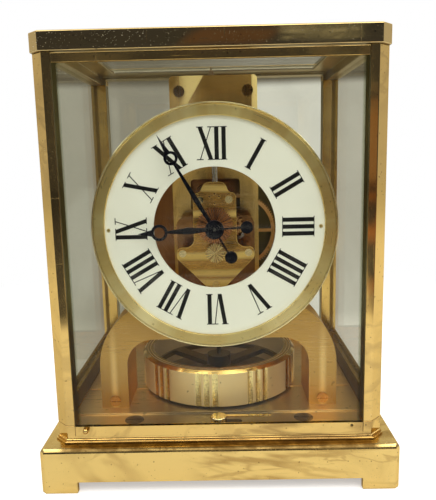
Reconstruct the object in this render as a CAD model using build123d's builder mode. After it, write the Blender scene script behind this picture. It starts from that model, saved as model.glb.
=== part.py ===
"""A glass-cased table clock, wound by the air, whose balance hangs on a wire and turns slowly."""
from build123d import *
from math import cos, pi, radians, sin
import os

# Driving dimensions, in millimetres. X is to the right, Y to the rear, Z up.
# The origin is on the table, under the middle of the clock.
dial_radius = 55.0
dial_hole_radius = 30.5
bezel_width = 6.6        # the turned ring round the dial
side_room = 20.65        # from the bezel to the outer side of the case
case_depth = 131.8
plinth_proud_x = 7.05    # how far the plinth stands out beyond the case
plinth_proud_y = 6.85
plinth_top = 23.4
seat_rise = 9.1          # from the plinth to where the four corner posts stand
floor_drop = 0.5         # from there down to the brass floor under the movement
balance_lift = 0.9       # from the floor to the balance
balance_height = 20.1
balance_radius = 45.2
arch_room = 16.8         # between the balance and the arch over it
arch_crown = 20.8        # thickness of the arch at its middle
dial_rise = 38.7         # from the top of the arch to the hands' axis
head_room = 22.1         # between the bezel and the cap
cap_height = 9.0
corner_cut = 5.97        # the 45 degree face on each corner of the case
bridge_front = -44.3
bridge_rear = -15.0
staff_y = -3.0           # the hanging wire is this far behind the middle
tower_front = 4.5
drum_front = 15.0
drum_radius = 45.0

# Shared fits
running_gap = 0.05       # radial, on everything that turns in a bore
pressed_gap = 0.02       # radial, on everything that is pressed in
free_gap = 0.4
wheel_gap = 0.8          # between a wheel and the plate beside it
overrun = 5.0            # how far a cutting tool runs past what it cuts
glass_thickness = 2.0
half_turn_angle = 180.0  # in degrees

# The clock's height is a stack: plinth, posts' seat, floor, balance, arch, dial, bezel and cap
seat_top = plinth_top + seat_rise
floor_top = seat_top - floor_drop
balance_bottom = floor_top + balance_lift
balance_top = balance_bottom + balance_height
arch_top = balance_top + arch_room
bridge_top = arch_top + arch_crown
dial_height = bridge_top + dial_rise
bezel_radius = dial_radius + bezel_width
cap_bottom = dial_height + bezel_radius + head_room
overall_height = cap_bottom + cap_height
case_width = 2 * (bezel_radius + side_room)
plinth_width = case_width + 2 * plinth_proud_x
plinth_depth = case_depth + 2 * plinth_proud_y
front_face = -case_depth / 2
rear_face = case_depth / 2
side_face = case_width / 2

os.makedirs("parts", exist_ok=True)


def level(z):
    """A drawing plane at height z that faces up."""
    return Plane.XY.offset(z)


def facing(y, place=(0, 0)):
    """A drawing plane at depth y that faces the front, centred on a place given as X and Z."""
    return Plane(origin=(place[0], y, place[1]), x_dir=(1, 0, 0), z_dir=(0, -1, 0))


def turning(place):
    """A plane through an arbor: its x is the radius and its y is the depth Y."""
    return Plane(origin=(place[0], 0, place[1]))


def arbor(place):
    """The line that a wheel at this place turns about."""
    return Axis((place[0], 0, place[1]), (0, 1, 0))


def from_dial(*places):
    """Places given from the hands' axis, as X and Z above the table."""
    return [(x, dial_height + z) for x, z in places]


def slab(x_low, x_high, y_low, y_high, mode=Mode.ADD):
    """A rectangle between four edges, in the sketch that is open."""
    with Locations(((x_low + x_high) / 2, (y_low + y_high) / 2)):
        Rectangle(x_high - x_low, y_high - y_low, mode=mode)


def cut_corners(width, depth, cut):
    """A rectangle on the middle with its four corners cut at 45 degrees."""
    rectangle = Rectangle(width, depth)
    chamfer(rectangle.vertices(), length=cut)


def closed_outline(*points):
    """A face inside straight lines from point to point."""
    Polygon(*points, align=None)


# Plinth: a hollow brass box on four bracket feet, with two threaded bosses for the levelling screws
foot_height = 5.76
foot_width = 18.4
plinth_wall = 3.0
plinth_corner = 2.2
plinth_rounding = 2.8
plinth_rim_x = 23.3      # from the plinth's side to the opening in its top
plinth_rim_y = 24.75
levelling_x = 43.7
levelling_inset = 9.2
levelling_y = front_face + levelling_inset
levelling_stem_radius = 2.5
levelling_boss_radius = 5.0
levelling_boss_height = 8.0

with BuildPart() as plinth:
    with BuildSketch(level(0)):
        cut_corners(plinth_width, plinth_depth, plinth_corner)
    extrude(amount=plinth_top)
    fillet(plinth.faces().sort_by(Axis.Z)[-1].edges(), radius=plinth_rounding)
    with BuildSketch(level(0)):
        Rectangle(plinth_width - 2 * plinth_wall, plinth_depth - 2 * plinth_wall)
    extrude(amount=plinth_top - plinth_wall, mode=Mode.SUBTRACT)
    with BuildSketch(level(0)):
        Rectangle(plinth_width + 2 * overrun, plinth_depth - 2 * foot_width)
        Rectangle(plinth_width - 2 * foot_width, plinth_depth + 2 * overrun)
    extrude(amount=foot_height, mode=Mode.SUBTRACT)
    with BuildSketch(level(0)):
        Rectangle(plinth_width - 2 * plinth_rim_x, plinth_depth - 2 * plinth_rim_y)
    extrude(amount=plinth_top + overrun, mode=Mode.SUBTRACT)
    with BuildSketch(level(plinth_top - plinth_wall - levelling_boss_height)):
        with Locations((-levelling_x, levelling_y), (levelling_x, levelling_y)):
            Circle(levelling_boss_radius)
    extrude(amount=levelling_boss_height)
    with BuildSketch(level(0)):
        with Locations((-levelling_x, levelling_y), (levelling_x, levelling_y)):
            Circle(levelling_stem_radius + running_gap)
    extrude(amount=plinth_top + overrun, mode=Mode.SUBTRACT)
plinth.part.label = "plinth"
export_step(plinth.part, "parts/plinth.step")

# Base frame: the step between the plinth and the glass case, with the front door's sill
foot_lip_height = 1.0
foot_lip_proud = 1.1
second_lip_height = 1.1
second_lip_proud = 0.5
sill_rise = 3.6
sill_depth = 1.5
sill_top = plinth_top + sill_rise
post_width = 10.05
post_depth = 8.5
post_inner_x = side_face - post_width
post_inner_y = rear_face - post_depth
floor_side_gap = 6.55
floor_half_width = side_face - floor_side_gap
floor_front = front_face + sill_depth
rear_rail_depth = 3.9
floor_rear = rear_face - rear_rail_depth
floor_thickness = 3.0
floor_bottom = floor_top - floor_thickness
ledge_width = 4.0

with BuildPart() as base_frame:
    with BuildSketch(level(plinth_top)):
        cut_corners(case_width + 2 * foot_lip_proud, case_depth + 2 * foot_lip_proud, corner_cut)
    extrude(amount=foot_lip_height)
    with BuildSketch(level(plinth_top + foot_lip_height)):
        cut_corners(case_width + 2 * second_lip_proud, case_depth + 2 * second_lip_proud, corner_cut)
    extrude(amount=second_lip_height)
    with BuildSketch(level(plinth_top + foot_lip_height + second_lip_height)):
        cut_corners(case_width, case_depth, corner_cut)
    extrude(amount=seat_top - plinth_top - foot_lip_height - second_lip_height)
    with BuildSketch(level(sill_top)):
        slab(-post_inner_x, post_inner_x, front_face - overrun, floor_front)
    extrude(amount=seat_top - sill_top, mode=Mode.SUBTRACT)
    with BuildSketch(level(floor_bottom)):
        slab(-post_inner_x, post_inner_x, floor_front, floor_rear)
        slab(-floor_half_width, floor_half_width, -post_inner_y, post_inner_y)
    extrude(amount=seat_top - floor_bottom, mode=Mode.SUBTRACT)
    with BuildSketch(level(plinth_top)):
        slab(-post_inner_x + ledge_width, post_inner_x - ledge_width,
             floor_front + ledge_width, floor_rear - ledge_width)
    extrude(amount=seat_top - plinth_top, mode=Mode.SUBTRACT)
base_frame.part.label = "base_frame"
export_step(base_frame.part, "parts/base_frame.step")

# Floor plate: brushed brass, stepped down along the front where the levelling screws sit
strip_drop = 1.0
strip_depth = 13.3
strip_top = floor_top - strip_drop
strip_rear = floor_front + strip_depth
levelling_head_radius = 4.85
levelling_head_height = 1.2
lock_radius = 12.0
lever_inset = 4.5
lever_y = floor_front + lever_inset
lever_stem_radius = 1.6
lever_travel = 10.0

with BuildPart() as floor_plate:
    with BuildSketch(level(floor_bottom)):
        slab(-post_inner_x + pressed_gap, post_inner_x - pressed_gap,
             floor_front + pressed_gap, floor_rear - pressed_gap)
        slab(-floor_half_width + pressed_gap, floor_half_width - pressed_gap,
             -post_inner_y + pressed_gap, post_inner_y - pressed_gap)
    extrude(amount=floor_thickness)
    with BuildSketch(level(strip_top)):
        slab(-floor_half_width, floor_half_width, floor_front, strip_rear)
    extrude(amount=floor_top - strip_top, mode=Mode.SUBTRACT)
    with BuildSketch(level(floor_bottom)):
        with Locations((0, staff_y)):
            Circle(lock_radius + running_gap)
        with Locations((lever_travel / 2, lever_y)):
            SlotCenterToCenter(lever_travel, 2 * (lever_stem_radius + free_gap))
        with Locations((-levelling_x, levelling_y), (levelling_x, levelling_y)):
            Circle(levelling_stem_radius + running_gap)
    extrude(amount=floor_thickness, mode=Mode.SUBTRACT)
    with BuildSketch(level(strip_top - levelling_head_height)):
        with Locations((-levelling_x, levelling_y), (levelling_x, levelling_y)):
            Circle(levelling_head_radius + running_gap)
    extrude(amount=levelling_head_height, mode=Mode.SUBTRACT)
floor_plate.part.label = "floor_plate"
export_step(floor_plate.part, "parts/floor_plate.step")

# Rear floor plate: a thin plate on the floor, cut back round the bridge's legs
rear_plate_thickness = 0.5
rear_plate_lap = 4.9
rear_plate_front = bridge_rear - rear_plate_lap
rear_plate_gap = 16.0
rear_plate_rear = floor_rear - rear_plate_gap
rear_plate_inset = 0.7
balance_side_gap = 3.1
leg_width = 14.6
leg_inner_x = balance_radius + balance_side_gap
bridge_half_width = leg_inner_x + leg_width

with BuildPart() as rear_floor_plate:
    with BuildSketch(level(floor_top)):
        slab(-floor_half_width + rear_plate_inset, floor_half_width - rear_plate_inset,
             rear_plate_front, rear_plate_rear)
        for side in (-1, 1):
            with Locations((side * (leg_inner_x + bridge_half_width) / 2, (rear_plate_front + bridge_rear) / 2)):
                Rectangle(bridge_half_width - leg_inner_x + 2 * free_gap,
                          bridge_rear - rear_plate_front + 2 * free_gap, mode=Mode.SUBTRACT)
        with Locations((0, staff_y)):
            Circle(lock_radius + free_gap, mode=Mode.SUBTRACT)
    extrude(amount=rear_plate_thickness)
rear_floor_plate.part.label = "rear_floor_plate"
export_step(rear_floor_plate.part, "parts/rear_floor_plate.step")

# Levelling screws: a slotted disc flush with the front strip, on a stem that reaches the table
slot_width = 0.9
slot_depth = 0.5
tip_cone = 1.2

for name, side in (("levelling_screw_left", -1), ("levelling_screw_right", 1)):
    with BuildPart() as levelling_screw:
        with BuildSketch(level(0)):
            with Locations((side * levelling_x, levelling_y)):
                Circle(levelling_stem_radius)
        extrude(amount=strip_top)
        chamfer(levelling_screw.edges().sort_by(Axis.Z)[0], length=tip_cone)
        with BuildSketch(level(strip_top - levelling_head_height)):
            with Locations((side * levelling_x, levelling_y)):
                Circle(levelling_head_radius)
        extrude(amount=levelling_head_height)
        with BuildSketch(level(strip_top - slot_depth)):
            with Locations((side * levelling_x, levelling_y)):
                Rectangle(2 * levelling_head_radius + overrun, slot_width)
        extrude(amount=slot_depth, mode=Mode.SUBTRACT)
    levelling_screw.part.label = name
    export_step(levelling_screw.part, f"parts/{name}.step")

# Locking lever: a round knob in a slot of the front strip, with a flat pointed arm
lever_knob_radius = 4.2
lever_knob_height = 3.1
lever_knob_top = strip_top + lever_knob_height
lever_knob_rounding = 0.8
lever_arm_start = 3.0
lever_arm_end = 27.0
lever_arm_half_width = 0.9
lever_arm_offset = 1.7
lever_arm_y = lever_y + lever_arm_offset
lever_arm_drop = 0.8
lever_arm_top = lever_knob_top - lever_arm_drop
lever_arm_thickness = 0.8

with BuildPart() as locking_lever:
    with BuildSketch(level(strip_top + running_gap)):
        with Locations((0, lever_y)):
            Circle(lever_knob_radius)
    extrude(amount=lever_knob_top - strip_top - running_gap)
    fillet(locking_lever.faces().sort_by(Axis.Z)[-1].edges(), radius=lever_knob_rounding)
    with BuildSketch(level(floor_bottom + running_gap)):
        with Locations((0, lever_y)):
            Circle(lever_stem_radius)
    extrude(amount=strip_top - floor_bottom)
    with BuildSketch(level(lever_arm_top - lever_arm_thickness)):
        closed_outline(
            (lever_arm_start, lever_arm_y - lever_arm_half_width),
            (lever_arm_end - 2 * lever_arm_half_width, lever_arm_y - lever_arm_half_width),
            (lever_arm_end, lever_arm_y),
            (lever_arm_end - 2 * lever_arm_half_width, lever_arm_y + lever_arm_half_width),
            (lever_arm_start, lever_arm_y + lever_arm_half_width),
        )
    extrude(amount=lever_arm_thickness)
locking_lever.part.label = "locking_lever"
export_step(locking_lever.part, "parts/locking_lever.step")

# Lock plate: a disc in the floor that rises under the balance when the lever is moved
lock_rise = 2.4

with BuildPart() as lock_plate:
    with BuildSketch(level(floor_bottom)):
        with Locations((0, staff_y)):
            Circle(lock_radius)
    extrude(amount=floor_thickness)
lock_plate.part.label = "lock_plate"
export_step(lock_plate.part, "parts/lock_plate.step")

# Corner posts: four upright bars with a cut outer corner
for name, x_side, y_side in (
    ("front_left_post", -1, -1),
    ("front_right_post", 1, -1),
    ("rear_left_post", -1, 1),
    ("rear_right_post", 1, 1),
):
    with BuildPart() as post:
        with BuildSketch(level(seat_top)):
            closed_outline(
                (x_side * post_inner_x, y_side * post_inner_y),
                (x_side * side_face, y_side * post_inner_y),
                (x_side * side_face, y_side * (rear_face - corner_cut)),
                (x_side * (side_face - corner_cut), y_side * rear_face),
                (x_side * post_inner_x, y_side * rear_face),
            )
        extrude(amount=cap_bottom - seat_top)
    post.part.label = name
    export_step(post.part, f"parts/{name}.step")

# Cap: a hollow brass frame on the posts, with a glass pane let into its top
cap_proud_x = 0.55
cap_proud_y = 1.4
cap_width = case_width + 2 * cap_proud_x
cap_depth = case_depth + 2 * cap_proud_y
cap_corner = 5.55
cap_rounding = 0.7
cap_rim_x = 7.25
cap_rim_y = 7.4
cap_inner_x = side_face - cap_rim_x
cap_inner_y = rear_face - cap_rim_y
cap_roof = 3.8
cap_ceiling = overall_height - cap_roof
cap_ledge_x = 11.0
cap_ledge_y = 12.5
cap_window_width = 2 * (cap_inner_x - cap_ledge_x)
cap_window_depth = 2 * (cap_inner_y - cap_ledge_y)
pane_ledge = 3.0
pane_recess = 0.2
pane_top = overall_height - pane_recess
rear_skirt_lift = 3.4
rear_skirt_bottom = cap_bottom + rear_skirt_lift

with BuildPart() as cap_frame:
    with BuildSketch(level(cap_bottom)):
        cut_corners(cap_width, cap_depth, cap_corner)
    extrude(amount=cap_height)
    fillet(cap_frame.faces().sort_by(Axis.Z)[-1].edges(), radius=cap_rounding)
    with BuildSketch(level(cap_bottom)):
        Rectangle(2 * cap_inner_x, 2 * cap_inner_y)
    extrude(amount=cap_ceiling - cap_bottom, mode=Mode.SUBTRACT)
    with BuildSketch(level(cap_bottom)):
        slab(-post_inner_x, post_inner_x, cap_inner_y - free_gap, rear_face + overrun)
    extrude(amount=rear_skirt_bottom - cap_bottom, mode=Mode.SUBTRACT)
    with BuildSketch(level(cap_bottom)):
        Rectangle(cap_window_width, cap_window_depth)
    extrude(amount=cap_height, mode=Mode.SUBTRACT)
    with BuildSketch(level(pane_top - glass_thickness)):
        Rectangle(cap_window_width + 2 * pane_ledge, cap_window_depth + 2 * pane_ledge)
    extrude(amount=glass_thickness + overrun, mode=Mode.SUBTRACT)
cap_frame.part.label = "cap_frame"
export_step(cap_frame.part, "parts/cap_frame.step")

with BuildPart() as top_glass:
    with BuildSketch(level(pane_top - glass_thickness)):
        Rectangle(cap_window_width + 2 * (pane_ledge - pressed_gap),
                  cap_window_depth + 2 * (pane_ledge - pressed_gap))
    extrude(amount=glass_thickness)
top_glass.part.label = "top_glass"
export_step(top_glass.part, "parts/top_glass.step")

# Bottom rails of the two sides and the rear, with the panes that stand on them
rail_height = 9.0
rail_thickness = 6.25
rail_top = seat_top + rail_height
pane_inset = 2.0

for name, side in (("left", -1), ("right", 1)):
    with BuildPart() as side_rail:
        with BuildSketch(level(seat_top)):
            with Locations((side * (side_face - rail_thickness / 2), 0)):
                Rectangle(rail_thickness, 2 * post_inner_y)
        extrude(amount=rail_height)
    side_rail.part.label = f"{name}_rail"
    export_step(side_rail.part, f"parts/{name}_rail.step")
    with BuildPart() as side_glass:
        with BuildSketch(level(rail_top)):
            with Locations((side * (side_face - pane_inset - glass_thickness / 2), 0)):
                Rectangle(glass_thickness, 2 * post_inner_y)
        extrude(amount=cap_bottom - rail_top)
    side_glass.part.label = f"{name}_glass"
    export_step(side_glass.part, f"parts/{name}_glass.step")

with BuildPart() as rear_rail:
    with BuildSketch(level(seat_top)):
        slab(-post_inner_x, post_inner_x, floor_rear, rear_face)
    extrude(amount=rail_height)
rear_rail.part.label = "rear_rail"
export_step(rear_rail.part, "parts/rear_rail.step")

with BuildPart() as rear_glass:
    with BuildSketch(level(rail_top)):
        slab(-post_inner_x, post_inner_x,
             rear_face - glass_thickness - pane_inset / 2, rear_face - pane_inset / 2)
    extrude(amount=rear_skirt_bottom - rail_top)
rear_glass.part.label = "rear_glass"
export_step(rear_glass.part, "parts/rear_glass.step")

# Front door: a pane between two brass rails that hangs from its top edge, with one ball knob
door_proud = 1.0
door_half_width = post_inner_x - free_gap
door_front = front_face - door_proud
door_thickness = 2.4
door_rear = door_front + door_thickness
door_sill_gap = 0.3
door_bottom = sill_top + door_sill_gap
door_rail_height = 5.26
door_rail_top = door_bottom + door_rail_height
door_head_gap = 0.8
door_head_height = 4.2
door_head_top = cap_bottom - door_head_gap
door_head_bottom = door_head_top - door_head_height
door_glass_thickness = 1.4
door_glass_rear = door_rear - (door_thickness - door_glass_thickness) / 2
door_slot_depth = 2.0
knob_inset = 5.5
knob_drop = 1.56
knob_x = door_half_width - knob_inset
knob_z = door_rail_top - knob_drop
knob_radius = 1.4
knob_stem_radius = 0.7
knob_collar_radius = 1.5
knob_collar_length = 0.5
knob_reach = 1.6

with BuildPart() as front_glass:
    with BuildSketch(facing(door_glass_rear)):
        slab(-door_half_width, door_half_width,
             door_rail_top - door_slot_depth, door_head_bottom + door_slot_depth)
    extrude(amount=door_glass_thickness)
front_glass.part.label = "front_glass"
export_step(front_glass.part, "parts/front_glass.step")

with BuildPart() as door_top_rail:
    with BuildSketch(facing(door_rear)):
        slab(-door_half_width, door_half_width, door_head_bottom, door_head_top)
    extrude(amount=door_thickness)
    with BuildSketch(facing(door_glass_rear)):
        slab(-door_half_width, door_half_width, door_head_bottom, door_head_bottom + door_slot_depth)
    extrude(amount=door_glass_thickness, mode=Mode.SUBTRACT)
door_top_rail.part.label = "door_top_rail"
export_step(door_top_rail.part, "parts/door_top_rail.step")

with BuildPart() as door_bottom_rail:
    with BuildSketch(facing(door_rear)):
        slab(-door_half_width, door_half_width, door_bottom, door_rail_top)
    extrude(amount=door_thickness)
    with BuildSketch(facing(door_glass_rear)):
        slab(-door_half_width, door_half_width, door_rail_top - door_slot_depth, door_rail_top)
    extrude(amount=door_glass_thickness, mode=Mode.SUBTRACT)
    with BuildSketch(facing(door_front + knob_collar_length)):
        with Locations((-knob_x, knob_z), (knob_x, knob_z)):
            Circle(knob_stem_radius + pressed_gap)
    extrude(amount=knob_collar_length, mode=Mode.SUBTRACT)
door_bottom_rail.part.label = "door_bottom_rail"
export_step(door_bottom_rail.part, "parts/door_bottom_rail.step")

with BuildPart() as door_knob:
    with BuildSketch(facing(door_front + knob_collar_length, (-knob_x, knob_z))):
        Circle(knob_stem_radius)
    extrude(amount=knob_collar_length + knob_reach)
    with BuildSketch(facing(door_front, (-knob_x, knob_z))):
        Circle(knob_collar_radius)
    extrude(amount=knob_collar_length)
    with Locations((-knob_x, door_front - knob_reach, knob_z)):
        Sphere(knob_radius)
door_knob.part.label = "door_knob"
export_step(door_knob.part, "parts/door_knob.step")

# Bridge: the deep arch that carries the movement
bridge_shoulder = 35.6
arch_corner = 14.0
leg_screw_lift = 4.0
leg_screw_x = leg_inner_x + leg_width / 2
leg_screw_z = floor_top + leg_screw_lift
leg_screw_radius = 2.9
leg_screw_head = 0.8
leg_screw_stem_radius = 1.5
leg_screw_length = 9.0

with BuildPart() as bridge:
    with BuildSketch(facing(bridge_rear)) as bridge_outline:
        slab(-bridge_half_width, bridge_half_width, floor_top, bridge_top)
        fillet(bridge_outline.vertices().group_by(Axis.Y)[-1], radius=bridge_shoulder)
    extrude(amount=bridge_rear - bridge_front)
    with BuildSketch(facing(bridge_rear)) as arch_outline:
        slab(-leg_inner_x, leg_inner_x, floor_top, arch_top)
        fillet(arch_outline.vertices().group_by(Axis.Y)[-1], radius=arch_corner)
    extrude(amount=bridge_rear - bridge_front, mode=Mode.SUBTRACT)
    with BuildSketch(facing(bridge_front + leg_screw_length)):
        with Locations((-leg_screw_x, leg_screw_z), (leg_screw_x, leg_screw_z)):
            Circle(leg_screw_stem_radius + pressed_gap)
    extrude(amount=leg_screw_length, mode=Mode.SUBTRACT)
bridge.part.label = "bridge"
export_step(bridge.part, "parts/bridge.step")

with BuildPart() as bridge_screws:
    for side in (-1, 1):
        with BuildSketch(facing(bridge_front + leg_screw_length, (side * leg_screw_x, leg_screw_z))):
            Circle(leg_screw_stem_radius)
        extrude(amount=leg_screw_length)
        with BuildSketch(facing(bridge_front, (side * leg_screw_x, leg_screw_z))):
            Circle(leg_screw_radius)
        extrude(amount=leg_screw_head)
        with BuildSketch(facing(bridge_front - leg_screw_head + slot_depth, (side * leg_screw_x, leg_screw_z))):
            Rectangle(2 * leg_screw_radius + overrun, slot_width)
        extrude(amount=slot_depth, mode=Mode.SUBTRACT)
bridge_screws.part.label = "bridge_screws"
export_step(bridge_screws.part, "parts/bridge_screws.step")

# Bezel: a turned ring on the bridge, stepped at its rim, with a ledge behind the dial
hand_place = (0, dial_height)
bezel_depth = 8.2
bezel_front = bridge_front - bezel_depth
bezel_step_width = 1.3
bezel_step_depth = 0.8
bezel_groove_width = 0.35
bezel_groove_depth = 1.3
dial_recess = 1.5
dial_thickness = 1.5
dial_front = bezel_front + dial_recess
dial_rear = dial_front + dial_thickness
ledge_width = 3.5
ledge_radius = dial_radius - ledge_width

with BuildPart() as bezel:
    with BuildSketch(turning(hand_place)):
        closed_outline(
            (ledge_radius, bridge_front),
            (bezel_radius, bridge_front),
            (bezel_radius, bezel_front + bezel_step_depth),
            (bezel_radius - bezel_step_width + bezel_groove_width, bezel_front + bezel_step_depth),
            (bezel_radius - bezel_step_width + bezel_groove_width, bezel_front + bezel_groove_depth),
            (bezel_radius - bezel_step_width, bezel_front + bezel_groove_depth),
            (bezel_radius - bezel_step_width, bezel_front),
            (dial_radius, bezel_front),
            (dial_radius, dial_rear),
            (ledge_radius, dial_rear),
        )
    revolve(axis=arbor(hand_place))
bezel.part.label = "bezel"
export_step(bezel.part, "parts/bezel.step")

# Dial ring, held to the bezel's ledge by two small screws
dial_screw_inset = 2.0
dial_screw_x = dial_radius - dial_screw_inset
dial_screw_head_radius = 0.9
dial_screw_head = 0.3
dial_screw_stem_radius = 0.45
dial_screw_length = 3.5

with BuildPart() as dial_ring:
    with BuildSketch(facing(dial_rear, hand_place)):
        Circle(dial_radius - pressed_gap)
        Circle(dial_hole_radius, mode=Mode.SUBTRACT)
        with Locations((-dial_screw_x, 0), (dial_screw_x, 0)):
            Circle(dial_screw_stem_radius + pressed_gap, mode=Mode.SUBTRACT)
    extrude(amount=dial_thickness)
dial_ring.part.label = "dial_ring"
export_step(dial_ring.part, "parts/dial_ring.step")

with BuildPart() as dial_screws:
    with BuildSketch(facing(dial_rear, hand_place)):
        with Locations((-dial_screw_x, 0), (dial_screw_x, 0)):
            Circle(dial_screw_stem_radius)
    extrude(amount=dial_thickness)
    with BuildSketch(facing(dial_front, hand_place)):
        with Locations((-dial_screw_x, 0), (dial_screw_x, 0)):
            Circle(dial_screw_head_radius)
    extrude(amount=dial_screw_head)
dial_screws.part.label = "dial_screws"
export_step(dial_screws.part, "parts/dial_screws.step")

# Roman numerals, laid on the dial with their feet to the middle
numeral_foot_gap = 3.2
numeral_head_gap = 5.3
numeral_foot = dial_hole_radius + numeral_foot_gap
numeral_head = dial_radius - numeral_head_gap
numeral_thickness = 0.12
thick_stroke = 2.05
thin_stroke = 0.45
serif_width = 3.3
serif_thickness = 0.4
numeral_cell = {"I": 3.5, "V": 6.9, "X": 7.3}
numeral_spread = {"V": 2.6, "X": 2.7}


def clock_plane(y, clock_angle):
    """A plane on the dial whose y points outwards at a clockwise angle from twelve."""
    across = (cos(radians(clock_angle)), 0, -sin(radians(clock_angle)))
    return Plane(origin=(0, y, dial_height), x_dir=across, z_dir=(0, -1, 0))


def stroke(head_x, foot_x, width):
    """One stroke of a numeral with a serif at its head; a foot serif follows for I and X."""
    Polygon(
        (head_x - width / 2, numeral_head), (head_x + width / 2, numeral_head),
        (foot_x + width / 2, numeral_foot), (foot_x - width / 2, numeral_foot),
        align=None,
    )


def serif(x, z, towards):
    """A thin bar across the end of a stroke, on the inner side of that end."""
    with Locations((x, z + towards * serif_thickness / 2)):
        Rectangle(serif_width, serif_thickness)


def numeral_sketch(letters):
    """All strokes of one numeral, centred on the sketch that is open."""
    x = -sum(numeral_cell[letter] for letter in letters) / 2
    for letter in letters:
        middle = x + numeral_cell[letter] / 2
        if letter == "I":
            stroke(middle, middle, thick_stroke)
            serif(middle, numeral_head, -1)
            serif(middle, numeral_foot, 1)
        elif letter == "V":
            spread = numeral_spread[letter]
            stroke(middle - spread, middle, thick_stroke)
            stroke(middle + spread, middle + thick_stroke / 2 - thin_stroke, thin_stroke)
            serif(middle - spread, numeral_head, -1)
            serif(middle + spread, numeral_head, -1)
        else:
            spread = numeral_spread[letter]
            stroke(middle - spread, middle + spread, thick_stroke)
            stroke(middle + spread, middle - spread, thin_stroke)
            for side in (-1, 1):
                serif(middle + side * spread, numeral_head, -1)
                serif(middle + side * spread, numeral_foot, 1)
        x += numeral_cell[letter]


numeral_letters = ("XII", "I", "II", "III", "IIII", "V", "VI", "VII", "VIII", "IX", "X", "XI")
with BuildPart() as numerals:
    for hour, letters in enumerate(numeral_letters):
        with BuildSketch(clock_plane(dial_front, 360 * hour / len(numeral_letters))):
            numeral_sketch(letters)
        extrude(amount=numeral_thickness)
numerals.part.label = "numerals"
export_step(numerals.part, "parts/numerals.step")

# Hands, at five minutes to nine
hand_thickness = 0.6
hub_radius = 4.65
hub_thickness = 1.0
tail_length = 15.9
tail_width = 0.9
tail_ball_radius = 3.1
pipe_radius = 2.4
arbor_radius = 1.3
hand_post_radius = 0.9
hour_hand_gap = 4.4
hand_spacing = 2.0
hour_hand_rear = dial_front - hour_hand_gap
minute_hand_rear = hour_hand_rear - hand_spacing
minute_hand_angle = 330.0
hour_hand_angle = 267.5


def hand_sketch(length, ring_place, ring_radius, ring_hole, belly_place, belly_width, neck_width, tip_width):
    """A hand that points along y: a waisted shank, a ring, a spear tip and a ball on its tail."""
    closed_outline(
        (-neck_width / 2, 0),
        (-belly_width / 2, belly_place),
        (-neck_width / 2, ring_place - ring_radius),
        (-neck_width / 2, ring_place - (ring_radius + ring_hole) / 2),
        (neck_width / 2, ring_place - (ring_radius + ring_hole) / 2),
        (neck_width / 2, ring_place - ring_radius),
        (belly_width / 2, belly_place),
        (neck_width / 2, 0),
    )
    with Locations((0, ring_place)):
        Circle(ring_radius)
        Circle(ring_hole, mode=Mode.SUBTRACT)
    spear_foot = ring_place + (ring_radius + ring_hole) / 2
    closed_outline((-tip_width / 2, spear_foot), (0, length), (tip_width / 2, spear_foot))
    slab(-tail_width / 2, tail_width / 2, -tail_length, 0)
    with Locations((0, -tail_length)):
        Circle(tail_ball_radius)
    Circle(hub_radius)


minute_tip_gap = 1.7
minute_spear_length = 13.0
minute_hand_length = dial_radius - minute_tip_gap
minute_ring_place = minute_hand_length - minute_spear_length
minute_ring_radius = 3.4
minute_ring_hole = 2.1
minute_belly_place = 17.0
minute_belly_width = 2.5
minute_neck_width = 1.0
minute_tip_width = 2.6
with BuildPart() as minute_hand:
    with BuildSketch(clock_plane(minute_hand_rear, minute_hand_angle)):
        hand_sketch(minute_hand_length, minute_ring_place, minute_ring_radius, minute_ring_hole,
                    minute_belly_place, minute_belly_width, minute_neck_width, minute_tip_width)
    extrude(amount=hand_thickness)
    with BuildSketch(facing(minute_hand_rear, hand_place)):
        Circle(hub_radius)
    extrude(amount=hub_thickness)
    with BuildSketch(facing(minute_hand_rear, hand_place)):
        Circle(hand_post_radius + pressed_gap)
    extrude(amount=hub_thickness, mode=Mode.SUBTRACT)
minute_hand.part.label = "minute_hand"
export_step(minute_hand.part, "parts/minute_hand.step")

hour_tip_lap = 7.3
hour_spear_length = 10.6
hour_hand_length = dial_hole_radius + hour_tip_lap
hour_ring_place = hour_hand_length - hour_spear_length
hour_ring_radius = 4.1
hour_ring_hole = 2.7
hour_belly_place = 13.0
hour_belly_width = 3.4
hour_neck_width = 1.2
hour_tip_width = 3.4
with BuildPart() as hour_hand:
    with BuildSketch(clock_plane(hour_hand_rear, hour_hand_angle)):
        hand_sketch(hour_hand_length, hour_ring_place, hour_ring_radius, hour_ring_hole,
                    hour_belly_place, hour_belly_width, hour_neck_width, hour_tip_width)
    extrude(amount=hand_thickness)
    with BuildSketch(facing(hour_hand_rear, hand_place)):
        Circle(hub_radius)
    extrude(amount=hub_thickness)
    with BuildSketch(facing(hour_hand_rear, hand_place)):
        Circle(pipe_radius + pressed_gap)
    extrude(amount=hub_thickness, mode=Mode.SUBTRACT)
hour_hand.part.label = "hour_hand"
export_step(hour_hand.part, "parts/hour_hand.step")

# Where the wheels turn, as X and Z, and the radii that their tooth counts give
root_depth_share = 1.1      # of a module, below the pitch circle
tip_height_share = 0.75     # of a module, above the pitch circle
tooth_root_share = 0.27     # half the tooth's width at its root, of the tooth spacing
tooth_tip_share = 0.11      # the same at its tip
motion_distance = 14.2
escape_distance = 10.0
escape_angle = -15.0
intermediate_distance = 15.0
intermediate_angle = 218.2
barrel_distance = 25.0
minute_pinion_teeth = 8
minute_wheel_teeth = 52
hour_pinion_teeth = 26
hour_wheel_teeth = 48
centre_wheel_teeth = 40
escape_pinion_teeth = 10
drive_pinion_teeth = 10
intermediate_wheel_teeth = 50
intermediate_pinion_teeth = 10
great_wheel_teeth = 90


def along(place, distance, direction):
    """The place at a distance and an angle from another place."""
    return (place[0] + distance * cos(radians(direction)), place[1] + distance * sin(radians(direction)))


def share_of(distance, teeth, other_teeth):
    """The pitch radius of a wheel that meshes with another at this centre distance."""
    return distance * teeth / (teeth + other_teeth)


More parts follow.
